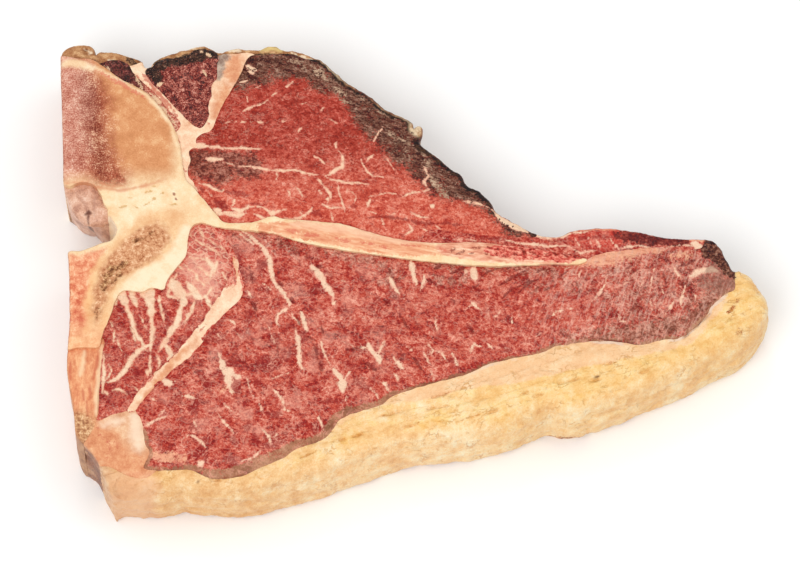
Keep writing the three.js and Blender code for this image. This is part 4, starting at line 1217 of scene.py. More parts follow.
LOIN_VEINS = [
    (2.4, -127, 28, 7, -5, 6, -7, 5, -5, 4, -7, 1, -8, 2, -9, 4, -7, 4, -5, 4, -8, 1, -4),
    (1.3, -130, 28, 7, -8, 6, -5), (1.5, -89, -37, -6, -1, -4, -4, 0, -5, 3, -5),
    (1.2, -89, -38, 3, -6, 4, -6), (2.6, -82, -39, 2, -6, 3, -10),
    (2.2, -86, -53, 3, -9, 1, -9, 0, -9, 3, -5), (1.1, -83, -82, -6, -5, -7, -3, -8, -3),
    (3.6, -74, -1, 5, -8, 5, -8, 6, -10), (1.9, -142, -69, 3, -10), (3.8, -140, -76, 3, -10),
    (5.2, -138, -85, 7, -4), (2.6, -132, -88, 7, -3), (4, -135, -88, 2, -9), (2.2, -134, -95, 3, -9),
    (3, -58, -84, 4, -5, 4, -7), (4.6, -52, -91, 2, -11), (1.6, -45, -86, -4, -7),
    (2.2, -33, -63, 4, -8, 3, -6), (3.2, -29, -71, 5, -4, 1, -5), (1.8, -20, -63, -4, -8),
    (2.8, 0, 3, 1, -7, 1, -6, 2, -7), (1.6, 7, -21, 3, 8, -1, 6), (3.8, 47, -3, 0, -6, 0, -5),
    (1.5, 41, -5, 0, -6), (1.8, 41, -38, 4, 6, 7, -7), (1.4, 57, -37, 1, -7), (1.6, 104, -43, 4, 4, 6, 2),
    (1.1, 110, -44, -3, 5), (1, 114, -37, 6, 1), (1.5, 18, -43, 1, -11), (2, -16, -11, 4, -9, 4, -9),
    (1.6, 30, -72, 2, -5, 2, -5), (0.8, -56, -1, 7, 6, 9, 3), (1.4, 74, -40, 1, -9), (1.2, 66, -37, -5, -7),
    (1, 92, -59, 4, 3), (1.5, 144, -11, 0, -6, -4, -6, -5, -6), (1.3, 181, 1, -1, -8, -3, -10, 1, -7),
    (1.3, 193, -1, 4, -8, 4, -5), (3.4, 206, -11, 8, 4, 8, 2, 5, -1), (1.4, 152, -40, 3, -7, 4, 0),
    (1, 177, -29, 1, -11), (1.5, 185, -44, 5, 7, 6, 8), (1, 127, -5, -3, -7),
    (1.4, 203, -18, -3, -11, -1, -8), (1, 209, -23, 3, -11), (0.9, 174, -10, -5, -11), (1, 155, -18, 7, 2),
    (1, 184, -15, 3, -10), (0.9, 110, -5, 11, 3), (1.3, -67, -63, 4, -11, 4, -9),
    (1, -112, -42, 7, -9, 4, -12), (1.6, -197, -129, 9, 4, 9, 4), (1.6, -168, -140, 6, 4, 6, -3, 6, -7),
    (1, -185, -121, 6, 6), (1.6, -142, -119, 6, -8, 6, -7), (1.9, -101, -100, 5, -8, 4, -9),
    (1.2, -94, -117, 6, 0), (1.9, -169, -105, 11, -2), (1.2, -112, -107, 3, -11),
    (1.4, -71, -117, 4, -7, 3, -9), (2, -109, -131, 6, -7, 1, -6), (1, -94, -132, -8, -7),
    (3.4, -181, -93, 6, -4), (2.2, -184, -88, 4, -8, 7, 2), (3.4, -155, -157, 3, -3),
    (1.6, 12, -63, 4, -6, -4, -5), (1.4, 16, -69, 6, -2, 4, -7), (1.4, -5, -66, 6, -5),
    (2.6, -11, -78, 5, -7), (1.2, -14, -74, 4, -8), (0.9, -52, -63, 8, -3, 5, -3), (1.6, -38, -67, 6, -2),
    (1.6, 43, -71, 3, 7, 5, -2), (1.2, 55, -64, 5, -5), (1.3, -144, -55, 5, -6), (1.2, -129, -55, 4, -6),
    (1.3, -135, -44, 6, -6), (1.6, -58, -26, 1, -7, 3, 4), (1, -44, -16, -9, 2, -4, -3),
    (1.5, -122, -21, 4, -7), (1.1, -110, -16, 6, -5), (1.3, 14, -86, 4, -7), (1.3, 10, -71, 4, -9),
    (1.6, -13, -88, 5, -6), (1.8, -20, -94, 3, -8), (1.4, -29, -99, 5, -8), (1.2, -45, -105, -4, -6),
    (1, -137, -111, 6, -7), (1.2, -191, -107, 5, -3), (1.2, -160, -124, 4, -8),
    (1, -121, -91, 3, -11, 4, -5), (1.3, -109, -147, -6, -6, -10, -4),
]
LOIN_CLEFTS = [
    (1.3, -72, -64, 3, -8, 1, -6), (1.2, -67, -78, 1, -7), (1.3, -76, -59, 6, -4), (1, -99, -65, 2, -7),
    (1.5, -35, -78, 5, -3, 4, -5), (0.9, -48, -69, 12, 2), (1.6, -98, -13, 3, -5), (1.4, -89, -27, 2, -5),
    (1.8, -70, -1, 3, -2), (1.4, -118, -30, 4, -9), (1.6, 1, -75, 4, -5, 2, -5), (1.1, -7, -43, 4, -9),
    (1, 187, -7, 1, -6, 1, -7), (0.9, 197, -2, 7, 1, 7, 5), (0.9, 158, -5, 6, 4),
    (0.8, 67, -28, 8, 7, 13, 7), (1.3, 29, -8, 9, 4, 9, 6), (1.1, 51, -11, 9, 6, 10, 4),
    (1.3, 65, -18, 10, 7, 11, 6), (1, 78, -25, 9, 8, 9, 5), (1.1, 17, -5, 7, 5), (1.2, 109, -11, 8, 6),
    (1, 99, -22, 9, 5), (1, 56, 0, 9, 3), (1, 93, -7, 8, 5), (1, 44, -21, 7, 4),
    (0.9, 136, -59, 18, -3, 12, -2), (0.8, -120, -2, 3, -13), (0.9, -85, -42, 3, -8), (1, -20, -29, 4, -4),
    (0.9, -66, -50, 2, -6), (1, 43, -50, 3, -5), (0.9, 26, -13, 12, 3),
]
LOIN_BLOOD = [
    (5, -129, -91, 0, -8, 3, -3), (4, -76, -23, 7, 3, 5, -5), (2.6, -70, -1, 4, -3), (2, -119, -31, 6, -6),
    (2.2, -99, -74, 2, -2), (1.8, -17, -5, 6, -7), (2.4, -155, -89, 6, -7), (2.4, -158, -107, 9, -4),
    (2.6, -118, -94, 9, -3), (2, -173, -91, 8, 2), (2, -137, -152, 9, -5), (2.2, -96, -136, 7, 3),
    (2, -84, -130, 6, 3), (1.6, -64, -110, 7, 2), (2.4, -8, -2, 4, -8), (2.2, 21, -75, 12, -3),
    (2, 40, -50, 6, -6), (2, 65, -66, 9, -5), (1.8, 2, -48, 7, -5), (2.2, -192, -132, 8, -3),
    (2, -132, -138, 7, -6), (1.8, -33, -97, 7, -5), (2.6, -42, -91, 7, -8),
]
LOIN_GREY = [
    (5, -111, 22, 14, -8, 15, -8), (3, -132, 25, 8, -6), (4.6, -63, 11, 18, -5, 22, -7, 13, -8),
    (4, 14, 1, 15, -3, 15, 1), (4.6, 56, -4, 17, 2, 23, -3, 22, -4), (4, 44, -13, -15, -2, -15, 5),
    (4, 110, -15, 15, -6), (5, 132, -10, 23, 5, 14, -7), (5, 140, -28, 29, 2, 15, 5),
    (5.4, 132, -53, 22, 1, 22, 2, 30, 6), (5, 190, -29, 24, 1, 18, 11), (4, -26, -15, 18, 2),
    (4, 110, -59, 22, 1), (3.2, 84, -18, 16, -3),
]
LOIN_ORANGE = [
    (3, -195, -149, 9, -3, 10, -1, 10, -2), (2.4, -198, -139, 3, -8), (1.6, -134, -99, -5, -3),
    (4.6, 116, 7, 12, -2, 12, -1), (5.4, 125, 2, 15, 3, 15, 3, 18, 3), (3, 137, -2, 15, 3),
    (3, 170, 11, 15, 0), (2.6, 194, 6, 13, 3), (1.8, 24, -111, 4, 3),
]
LOIN_KNOB = [214, 14, 5, 8, 12, 0, 13, -21, 1, -11, -7, -2, -8, 5, -5, 8, -8, 5]
LOIN_DRY_TIP = [223, 1, 19, -6, 1, -12, -7, -4, -11, -5, -8, 5, -3, 8, 5, 9]


def loin_relief(at, gap):
    x, y = at.T
    height = level(-0.5, 1.2, gap) + 0.4 * np.sin(0.16 * x - 0.11 * y) * np.sin(0.07 * x + 0.17 * y)
    height -= hollow(at, 24, -36, 0.7, 8)
    height -= hollow(at, -28, -42, 0.6, 7)
    height += 0.2 * rough(at, 2.6, 101) + 0.1 * strokes(at, LOIN_VEINS)
    height -= 0.5 * strokes(at, LOIN_CLEFTS, 0.5) + 0.25 * strokes(at, LOIN_BLOOD, 1)
    return height + zone(at, LOIN_KNOB, 1, 1) * (0.9 * crags(at) - 0.5)


def multifidus_relief(at, gap):
    x, y = at.T
    height = level(-0.4, 1.1, gap) + 0.5 * np.sin(0.24 * x + 0.1 * y) * np.cos(0.09 * x - 0.12 * y)
    return height + 0.18 * rough(at, 2.2, 103) - 0.15 * strokes(at, BUNDLE_SEAMS)


def flank_relief(at, gap):
    crust = zone(at, FLANK_CRUST, 1, 1)
    height = level(-0.6, 0.9, gap) + 0.25 * np.sin(0.17 * at[:, 0]) + 0.12 * rough(at * (0.5, 1), 1.6, 105)
    return height + crust * (0.8 * crags(at) - 0.4)


flank = Piece("flank_strip", FLANK, "loin_meat", flank_relief, dried_side)
seam = Piece("loin_seam_fat", LOIN_SEAM, "seam_fat",
             lambda at, gap: level(-0.4, 0.2, gap) + 0.15 * rough(at, 4, 107))
multifidus = Piece("multifidus", MULTIFIDUS, "loin_meat", multifidus_relief)
loin = Piece("strip_loin", LOIN, "loin_meat", loin_relief, dried_side)

at = flank.flat
flank.masks.update(
    fat=strokes(at, FLANK_FAT, 1.0, 0.4) * flank.cut_face,
    brown=zone(at, FLANK_CRUST, 1.6, 1.4),
    knob=0.75 * flank.wall,
    side=flank.wall * below_edge(flank),
    bright=zone(at, [108, 27, 18, 3, 23, -2, 12, -5, -4, -9, -17, -3, -15, 4, -14, 4], 2.5, 1.5))
near_line = soft_step(flank.rim_gap + 0.8 * rough(at, 4, 111), 2.6, 0.8) * soft_step(-at[:, 0], -62, -44)
tail_line = soft_step(flank.rim_gap + 0.5 * rough(at, 3, 113), 1.3, 0.4) * soft_step(at[:, 0], 44, 62)
flank.masks.update(
    orange=np.maximum(near_line, tail_line * (1 - flank.wall)),
    blood=strokes(at, [
        (2, 51, 22, 15, -3, 12, -3), (2, 125, 20, 15, 1, 15, -1), (1.4, 102, 18, 16, 1),
        (1.4, -11, 23, 18, -1),
    ], 0.8))
at = multifidus.flat
pale = zone(at, [-167, 4, 8, 2, 10, -2, 9, -5, 0, -9, -4, -10, -9, -8, -9, 2, -5, 13], 3, 3)
multifidus.masks.update(
    cream=np.maximum(strokes(at, BUNDLE_SEAMS, 1.0, 0.5, thin=1.05),
                     0.45 * pale * veins(at, 2.6, 1.2, 115)),
    bundled=zone(at, [
        -169, 22, 9, 8, 14, 0, 10, -7, 3, -12, -3, -24, -8, -13, -9, -3, -13, 8, -5, 22,
    ], 3, 2))
multifidus.masks["pale"] = np.maximum(pale, 0.33 * multifidus.masks["bundled"])
multifidus.masks["blood"] = np.maximum(strokes(at, BUNDLE_BLOOD, 1.2, 1.0),
                                       0.45 * soft_step(-at[:, 1] + 3 * rough(at, 5, 117), 14, 22))
at = loin.flat
marbled = soft_step(-at[:, 0], -20, 40)
loin.masks.update(
    fat=strokes(at, LOIN_VEINS, 1.1, 0.5, thin=0.95) * loin.cut_face,
    silky=soft_step(at[:, 0], 30, 62),
    thready=np.maximum(marbled, 0.9 * soft_step(at[:, 0], 40, 75)),
    blood=np.maximum(strokes(at, LOIN_BLOOD, 1.2, 1.2),
                     0.85 * marbled * soft_step(rough(at, 5, 131), 0.1, 0.55)),
    dark=strokes(at, LOIN_CLEFTS, 0.45, 0.3))
grey = 0.75 * strokes(at, LOIN_GREY, 3.0, 3.0)
tail = soft_step(at[:, 0], 55, 85) * 0.55
loin.masks["grey"] = np.maximum(grey, tail)
beside_cap = soft_step(-66 + 0.31 * (at[:, 0] + 100) - at[:, 1], -1, 1)
edge_width = 1.2 + 3.4 * np.exp(-((at[:, 0] + 58) / 22) ** 2) + 1.6 * np.exp(-((at[:, 0] + 22) / 14) ** 2)
in_edge = soft_step(edge_width + 0.5 * rough(at, 4, 135) - loin.edge_gap, -0.8, 0.8)
loin.masks.update(
    grey_edge=beside_cap * in_edge,
    grey_end=zone(at, [
        110, -66, 22, 10, 29, 6, 26, 5, 19, 11, 17, 16, 14, 3, -4, -14, -16, -18, -22, -11, -34, -6,
        -29, -2,
    ], 3, 2),
    orange=strokes(at, LOIN_ORANGE, 2.2, 1.4),
    knob=np.maximum(zone(at, LOIN_KNOB, 0.8, 1.0), 0.85 * loin.wall),
    side=loin.wall * below_edge(loin),
    dry=np.maximum(zone(at, LOIN_DRY_TIP, 2, 2), soft_step(loin.rim_gap, 3, 1) * (at[:, 0] > 100)),
    pale=0.5 * marbled * soft_step(rough(at, 6, 133), 0.1, 0.6))

loin_look, f = new_finish("loin_look")
grain = f.use(muscle, Place=f.place(along=1.3, turn=-14, down=3), Bundle=2.3)
torn = f.use(frays, Place=f.place(along=1.3, turn=64, down=3))
lying = f.use(frays, Place=f.place(along=2.0, turn=-12, down=3))
broad = f.use(tissue, Place=f.place(down=3), Patch=7.0, Contrast=1.0)
crust = f.use(dried, Place=f.place(down=2))
tone = f.sum(f.times(grain["Tone"], 0.72), f.times(broad["Tone"], 0.28))
f.shade = f.shades(tone, "15 74100f, 34 a0281f, 50 be4738, 66 d76f5b, 86 f4ac96")
f.lay(f.times(grain["Web"], f.step(torn["Cloud"], 0.42, 0.6, 0.0, 0.4)), "f0a590")
bright = f.shades(tone, "15 a01a14, 50 ce4033, 85 ec8470")
f.lay(f.larger(f.mask("bright"), f.mask("bundled")), bright, 0.75)
f.lay("pale", "f4b49e", 0.6)
blood = frayed(f, "blood", torn["Fray"], 0.3, 0.95)
f.lay(blood, "8e1611", 0.68)
# dark crimson specks: deep red meat and painted shade of small pits
f.lay(grain["Pit"], "801611", 0.5)
greyed = f.shades(grain["Tone"], "20 683428, 42 94594a, 60 b98270, 80 e0b5a2")
f.lay(frayed(f, "grey", torn["Fray"], 0.15, 0.95), greyed, 0.72)
# pale flecks of fat and painted wet glints
f.lay(grain["Fleck"], "f6b9a2", 0.4)
orange = f.shades(broad["Tone"], "20 e58f6f, 60 fabb97")
f.lay(frayed(f, "orange", torn["Fray"], 0.1, 0.85, 0.8), orange, 0.9)
edge_grey = f.shades(broad["Tone"], "20 85573f, 50 a57254, 80 c69474")
grey_end = f.shades(grain["Tone"], "20 70402f, 50 9a5d4b, 80 c48e7a")
f.lay(frayed(f, "grey_end", torn["Fray"], 0.1, 1.0), grey_end, 0.8)
f.lay(frayed(f, "grey_edge", torn["Fray"], 0.3, 0.95), edge_grey, 0.9)
silk = f.step(f.noise(f.place(along=5, turn=70, down=3), 0.9), 0.5, 0.66)
f.lay(f.times(silk, f.mask("silky")), "ecb9a6", 0.42)
thin = f.times(torn["Thread"], f.step(f.mask("thready"), 0.0, 1.0, 0.2, 0.5))
thin = f.larger(thin, f.times(lying["Thread"], 0.32))
f.lay(thin, "f0a790")
web = f.times(grain["Web"], f.times(f.mask("bundled"), f.step(torn["Cloud"], 0.35, 0.6, 0.5, 1.0)))
f.lay(web, "f3bda2")
fat = frayed(f, "fat", torn["Fray"], 0.44, 0.85, 0.7)
cream = frayed(f, "cream", torn["Fray"], 0.25, 0.95, 0.5)
fat_tone = f.sum(f.mask("fat"), f.times(f.less(torn["Speck"], 0.5), 0.6))
f.lay(fat, f.shades(fat_tone, "50 eda08c, 75 f5bfa2, 100 fcdabb"), 0.92)
cream_tone = f.sum(f.times(f.mask("cream"), 0.5), f.times(broad["Tone"], 0.5))
f.lay(cream, f.shades(cream_tone, "40 eda58c, 60 f6c6a4, 85 fee4c4"), 0.95)
dry = f.shades(crust["Tone"], "35 6b3d31, 50 9a6a5a, 65 c39b88")
f.lay(frayed(f, "dry", torn["Fray"], 0.2, 0.95), dry, 0.6)
brown = f.shades(crust["Tone"], "35 3a0d0a, 46 681f19, 56 8f3c32, 68 bd7464")
f.lay(frayed(f, "brown", torn["Fray"], 0.25, 0.85), brown)
knob = f.shades(crust["Tone"], "36 1c0a07, 46 48211a, 56 84513f, 68 c49a86")
f.lay(frayed(f, "knob", torn["Fray"], 0.3, 0.75, 0.7), knob)
f.lay(frayed(f, "dark", torn["Fray"], 0.3, 0.85, 0.7), "741814", 0.6)
outside = f.use(outer_skin, Place=f.place())
f.lay(f.times(f.mask("side"), f.sum(f.times(outside["Cover"], 0.5), 0.35)), outside["Colour"])
height = f.sum(f.times(grain["Height"], 1.2), f.times(f.times(crust["Height"], f.mask("knob")), 0.5))
height = f.sum(height, f.times(fat, 0.15))
give(loin_look, f.shade, f.sum(f.step(torn["Speck"], 0.3, 0.7, 0.3, 0.52), f.times(f.mask("knob"), 0.15)),
     height, 0.75, 0.12)
flank.finish(loin_look)
multifidus.finish(loin_look)
loin.finish(loin_look)

# ---- seams of fat between the muscles ----
# Cream fat and gristle with a few pink spots. One seam parts the multifidus from the loin, the other
# fills the wedge between the bone, the small muscle and the fillet.
FILLET_SEAM = [(-109, 79.5), (-105, 80.5), (-101.2, 82), (-98.6, 82.5), (-95, 77), (-82, 61), (-79, 66),
               (-73.5, 84), (-66, 85.5), (-59, 85), (-62, 72.5), (-74, 46), (-70, 24), (-62, 15),
               (-78.5, 18), (-87, 33.5), (-92, 52), (-99, 65.5), (-105.5, 70.5)]
FASCIA = [(-117.5, -56), (-99.5, -52), (-95.5, -69.5), (-91.5, -77.5), (-95, -83.5), (-102.5, -83.5),
          (-111, -80), (-117, -79), (-124.5, -73.5), (-124.5, -69), (-119.5, -66)]
fascia = Piece("fascia_corner", FASCIA, "fascia",
               lambda at, gap: level(-0.3, 0.6, gap) + 0.35 * np.sin(0.22 * at[:, 0] + 0.2 * at[:, 1])
               + 0.2 * rough(at, 3.5, 141), dried_side)
wedge = Piece("fillet_seam_fat", FILLET_SEAM, "seam_fat",
              lambda at, gap: level(-0.3, 0.2, gap) + 0.18 * rough(at, 3.5, 143))
at = seam.flat
seam.masks["orange"] = strokes(at, [
    (2, -133, 9, 3, -11, -1, -10), (1.6, -158, -61, -5, -6), (3.4, -161, -63, -9, -9, -7, -10, -9, -12,
    -7, -11, -7, -10),
], 2, 1.5)
margin = soft_step(0.3 + 1.6 * rough(at, 3.2, 147) - seam.edge_gap, -0.3, 0.5)
margin *= 1 - np.exp(-((at - (-65.5, -16)) ** 2).sum(1) / 40)
cream = strokes(at, [
    (2.8, -141, 28, 7, -9, 4, -10, 2, -11, 2, -13, 2, -11), (1.1, -135, 28, 6, -9, 4, -15, 2, -13, 2, -12),
    (1.3, -132, -29, 4, 11), (1, -141, 27, 14, -1),
], 0.5, 0.5)
lean = soft_step(at[:, 1] + 1.5 * rough(at, 3, 145), -10.5, -6) * (1 - cream)
seam.masks.update(
    meat=np.maximum(lean, margin),
    blood=strokes(at, [(0.8, -137, 19, 4, -13), (0.7, -151, -48, -5, -7)], 0.6))
at = wedge.flat
wedge.masks.update(
    orange=strokes(at, [
        (8, -132, 169, -1, -10, -2, -10), (6, -138, 144, -4, -12, -4, -11), (2.6, -160, 119, -6, -5),
    ], 2.2, 1.5),
    blood=strokes(at, [
        (2.2, -209, 154, 8, -10, 8, -8), (1.6, -203, 156, 8, -10, 9, -12), (1.4, -190, 139, 8, -10, 7, -10),
        (2, -174, 101, 0, -5), (2.4, -190, 134, 5, -6, 4, -9, 5, -6), (2.4, -207, 147, 8, -5, 4, -2),
        (0.8, -173, 77, 6, -3), (0.7, -160, 48, 3, -5), (0.8, -154, 118, 3, -7), (0.8, -169, 65, 6, -6),
    ], 0.5, 0.6),
    black=zone(at, [-152, 177, 12, 0, 3, -8, -2, -8, -2, -10, -6, -2, -2, 12], 2.2, 1.5))
fascia.masks.update(
    orange=zone(fascia.flat, [
        -239, -122, 14, -2, 11, -8, 4, -12, 12, -5, 12, -8, -4, -10, -22, -2, -15, 8, -12, 14,
    ], 3, 2),
    blood=0.5 * strokes(fascia.flat, [
        (1.6, -225, -133, 5, -10, -1, -9), (1.2, -204, -157, 11, 2), (1.2, -230, -130, 4, -9),
        (1, -216, -139, 3, -10),
    ], 1, 1),
    pale=strokes(fascia.flat, [(5, -203, -119, 2, -10, 1, -10, 1, -8), (3, -225, -127, 13, 3)], 2.0, 1.0),
    tan=0.7 + 0.3 * fascia.wall,
    # side: the fascia's own side in the outer skin's browns, partly dried skin and partly painted shade
    side=0.8 * fascia.wall * soft_step(fascia.depth + rough(fascia.points, 5, 89), 2, 6))
wedge.masks["side"] = soft_step(wedge.points[:, 1], 76, 79) * soft_step(wedge.depth, 1, 3)
seam_look, f = new_finish("seam_look")
grain = f.use(tissue, Place=f.place(down=2), Patch=4.5, Contrast=1.0)
f.shade = f.shades(grain["Tone"], "15 eab28f, 50 f9d1ae, 85 feeacb")
f.lay("tan", f.shades(grain["Tone"], "15 c6825a, 50 e0a277, 85 f4c89e"))
f.lay("orange", f.shades(grain["Tone"], "15 cc7a54, 50 e1976c, 85 f3bb8c"), 0.85)
torn = f.use(frays, Place=f.place(down=2))
f.lay(frayed(f, "blood", torn["Fray"], 0.3, 0.9), "c65f4c", 0.75)
f.lay("pale", "fce2c6", 0.8)
f.lay(frayed(f, "black", torn["Fray"], 0.2, 1.0, 0.4),
      f.shades(grain["Tone"], "15 6a544c, 50 a08c80, 85 d2bcaa"), 0.85)
lean = f.use(muscle, Place=f.place(along=1.3, turn=64, down=3), Bundle=2.3)
meat = f.shades(lean["Tone"], "15 8a1a15, 36 b23a2e, 50 ca5646, 66 dd7a66, 86 f5b09a")
f.lay(frayed(f, "meat", torn["Fray"], 0.25, 0.75, 0.5), meat)
f.lay(f.times(lean["Web"], f.times(f.mask("meat"), 0.5)), "f3bda2")
outside = f.use(outer_skin, Place=f.place())
# the outer skin's browns on the sides; on the fascia's side partly painted shade
f.lay("side", outside["Colour"])
give(seam_look, f.shade, f.step(grain["Grit"], 0.3, 0.7, 0.35, 0.55), grain["Height"], 0.6, 0.12)
seam.finish(seam_look)
wedge.finish(seam_look)
fascia.finish(seam_look)

# ---- dried fat along the back ----
# Thin fat over the backbone, the small muscle and the fillet, dried to a tan and brown skin.
BACKBONE_FAT = [(-137, 74), (-137, 93), (-112, 93), (-101.5, 88), (-100.2, 79.8), (-104, 76), (-120, 76)]
DRIED_RIM = [(-99.4, 79), (-100, 92), (-78, 95), (-50, 95), (-36, 90), (-33, 83.2), (-40, 79), (-60, 80),
             (-85, 80)]


def skin_relief(at, gap):
    return level(-0.8, 0.5, gap) + 0.3 * rough(at, 2.4, 151)


back_fat = Piece("backbone_fat", BACKBONE_FAT, "dried_fat", skin_relief, dried_side)
back_rim = Piece("dried_rim", DRIED_RIM, "dried_fat", skin_relief, dried_side)
for piece in (back_fat, back_rim):
    at = piece.flat
    wall_scraps = 0.4 * piece.wall * soft_step(rough(piece.points, 9, 155, 4), 0.0, 0.5)
    piece.masks.update(
        brown=soft_step(rough(at, 6, 153), -0.1, 0.45),
        black=np.maximum(wall_scraps, strokes(at, [
            (2, -216, 169, 7, -5, 8, -5), (1.6, -198, 159, 9, 7), (1.6, -177, 168, 10, 2, 11, 4, 9, -2),
            (1.4, -121, 170, 15, 1, 15, -1), (1.2, -239, 167, 3, -6),
        ], 0.7, 0.8) * piece.cut_face),
        cream=strokes(at, [
            (2.2, -263, 164, 11, 0, 15, -3), (1.4, -247, 176, 6, -4), (1.2, -228, 166, 9, -2),
            (1.4, -139, 174, 10, 0), (1.2, -90, 172, 18, -8), (1.6, -174, 175, 18, 5),
        ], 1.0, 0.8) * piece.cut_face,
        yellow=strokes(at, [(2.4, -112, 175, 7, 2, 9, -2)], 1.2, 1) * piece.cut_face,
        side=piece.wall * below_edge(piece))
dried_look, f = new_finish("dried_fat_look")
grain = f.use(tissue, Place=f.place(across=0.6), Patch=4.0, Contrast=1.2)
torn = f.use(frays, Place=f.place(along=1.6))
tone = f.sum(f.times(grain["Tone"], 0.6), f.times(torn["Cloud"], 0.4))
f.shade = f.shades(tone, "25 8c5838, 45 b07a53, 60 ce9d70, 75 eac496")
f.lay(frayed(f, "brown", torn["Fray"], 0.2, 1.0, 0.6), f.shades(tone, "25 6f422a, 50 a06c47, 75 cc9a6c"),
      0.75)
f.lay("yellow", "ead08c", 0.8)
f.lay(frayed(f, "cream", torn["Fray"], 0.2, 0.9, 0.5), "f9e2c2", 0.85)
f.lay(frayed(f, "black", torn["Fray"], 0.3, 1.0, 0.7),
      f.shades(torn["Speck"], "36 2a1a13, 50 553a2b, 64 9a7658"), 0.9)
outside = f.use(outer_skin, Place=f.place())
f.lay("side", outside["Colour"], 0.85)
give(dried_look, f.shade, f.step(grain["Grit"], 0.3, 0.7, 0.45, 0.65), grain["Height"], 0.8, 0.05)
back_fat.finish(dried_look)
back_rim.finish(dried_look)

# ---- fat cap ----
# The thick outer fat along the front and round the tail. A pinkish layer lies against the meat, and
# yellow fat with long creases outside it. It rolls over a soft shoulder into its own side.
CAP = [(-117, -77), (-125, -100), (0, -100), (140, -60), (140, 4), (119.8, 0), (112, -10), (95, -24),
       (50, -28), (-20, -50), (-60, -76), (-97, -72)]
CAP_PEACH = [
    -59, -132, 16, 12, 20, 8, 37, 5, 36, 9, 30, 4, 37, 9, 51, 11, 37, 11, 17, 19, 11, 15, -8, 8, -19, -24,
    -37, -12, -59, 4, -133, -40, -44, -31,
]
CAP_PINK_END = [-239, -149, 18, -11, 15, -4, 16, -3, 7, -7, -7, -7, -9, -10, -7, -13, -20, 0, -12, 34]
CAP_CREASES = [
    (0.9, 15, -107, 7, 3, 6, 2), (0.9, 12, -115, 8, 1, 6, 2), (0.9, 139, -80, 7, 1, 6, 1),
    (0.8, 131, -93, 8, 1), (0.9, -53, -140, 5, 2), (0.9, -112, -168, 6, 1, 5, 1),
    (1.1, 201, -59, 6, 6, 6, 6, 8, 8), (0.9, 89, -105, 9, 2), (0.8, 55, -118, 9, 3), (1, -43, -137, 7, 2),
    (0.8, 80, -104, 6, 3), (0.7, -23, -121, 15, 5), (0.7, -8, -130, 14, 5), (0.7, 109, -96, 15, 5),
    (0.7, 168, -86, 12, 4), (0.8, -81, -153, 13, 6), (0.7, 36, -124, 14, 5), (0.7, 147, -100, 14, 4),
    (0.6, -147, -169, 22, -3),
]
CAP_SPOTS = [
    (1.5, -187, -190, 4, 3), (1.1, -182, -185, 2, 2), (0.9, -156, -171, 2, 1), (1.3, 226, -71, 3, 2),
    (0.9, 91, -138, 2, 2), (0.8, 260, -21, 2, 0), (0.8, 134, -91, 3, 1),
]
CAP_BROWNED = [
    (2.2, -10, -160, 9, 2), (1.2, 25, -157, 13, 3), (3.6, 98, -137, 11, 4, 13, 1), (1.8, 239, -56, 5, 3),
    (1.6, 221, -75, 8, 4), (1.6, -30, -169, 7, 2), (1.4, 14, -157, 7, 1), (1.4, 128, -124, 10, 5),
    (1.2, 168, -110, 9, 3), (1.6, 235, -39, 7, 10),
]
CAP_DEEP_YELLOW = [
    (4, 62, -124, 10, 5), (4, 14, -124, 14, 6), (4, -190, -174, 14, 4), (3, -52, -143, 12, 7),
    (4, 228, -53, 15, 14, 8, 13), (3.6, 109, -108, 22, 6), (3, 6, -130, 8, 3), (3.2, -117, -177, 14, 3),
    (3, 168, -80, 12, 3),
]


def fold_lines(at):
    """Long soft creases that follow the cap's sweep, between 0 and 1."""
    turn = math.radians(19)
    along = at @ (math.cos(turn), math.sin(turn)) / 7
    across = at @ (-math.sin(turn), math.cos(turn))
    bent = np.column_stack([along, across + 2.0 * lumps(at, 22, 165)])
    return soft_step(0.16 - np.abs(lumps(bent, 3.2, 165)), 0, 0.16)


def cap_relief(at, gap):
    x, y = at.T
    height = level(-0.2, 0.5, gap) + 0.3 * np.sin(0.06 * x + 0.42 * y) * np.sin(0.045 * x - 0.08 * y + 1)
    height += 0.28 * rough(at, 9, 161) + 0.1 * rough(at, 1.8, 163) - 0.4 * fold_lines(at)
    height += 0.42 * np.clip(rough(at, 3.4, 167, 2), -0.2, 0.8)
    return height - 1.0 * strokes(at, CAP_CREASES, 0.45) - 0.35 * strokes(at, CAP_SPOTS, 0.3)


def cap_side(points):
    swell = 0.75 * rough(points * (1, 1, 0.55), 15, 171, 2) + 0.35 * rough(points, 4.5, 173)
    swell += 0.25 * rough(points, 2.2, 177, 2)
    return swell - 0.4 * soft_step(0.1 - np.abs(lumps(points * (0.2, 0.2, 1), 5, 175)), 0, 0.1)


cap = Piece("fat_cap", CAP, "outer_fat", cap_relief, cap_side)
at = cap.flat
cap.masks.update(
    peach=zone(at, CAP_PEACH, 1.2, 0.8) * (1 - cap.wall),
    pink=np.maximum(zone(at, CAP_PINK_END, 2, 1.5), strokes(at, [
        (1.5, 133, -63, 13, 0, 15, -1, 11, 2), (1.2, 110, -65, 14, 2), (1.6, 213, -44, 9, 10, 6, 6),
    ], 0.7)))
# the creases' orange brown is partly the fat's colour and partly painted shade in them
creases = np.maximum(0.6 * strokes(at, CAP_CREASES, 0.5), 0.3 * fold_lines(at))
cap.masks.update(
    crease=creases * (1 - cap.wall),
    spot=strokes(at, CAP_SPOTS, 0.35) * (1 - cap.wall))
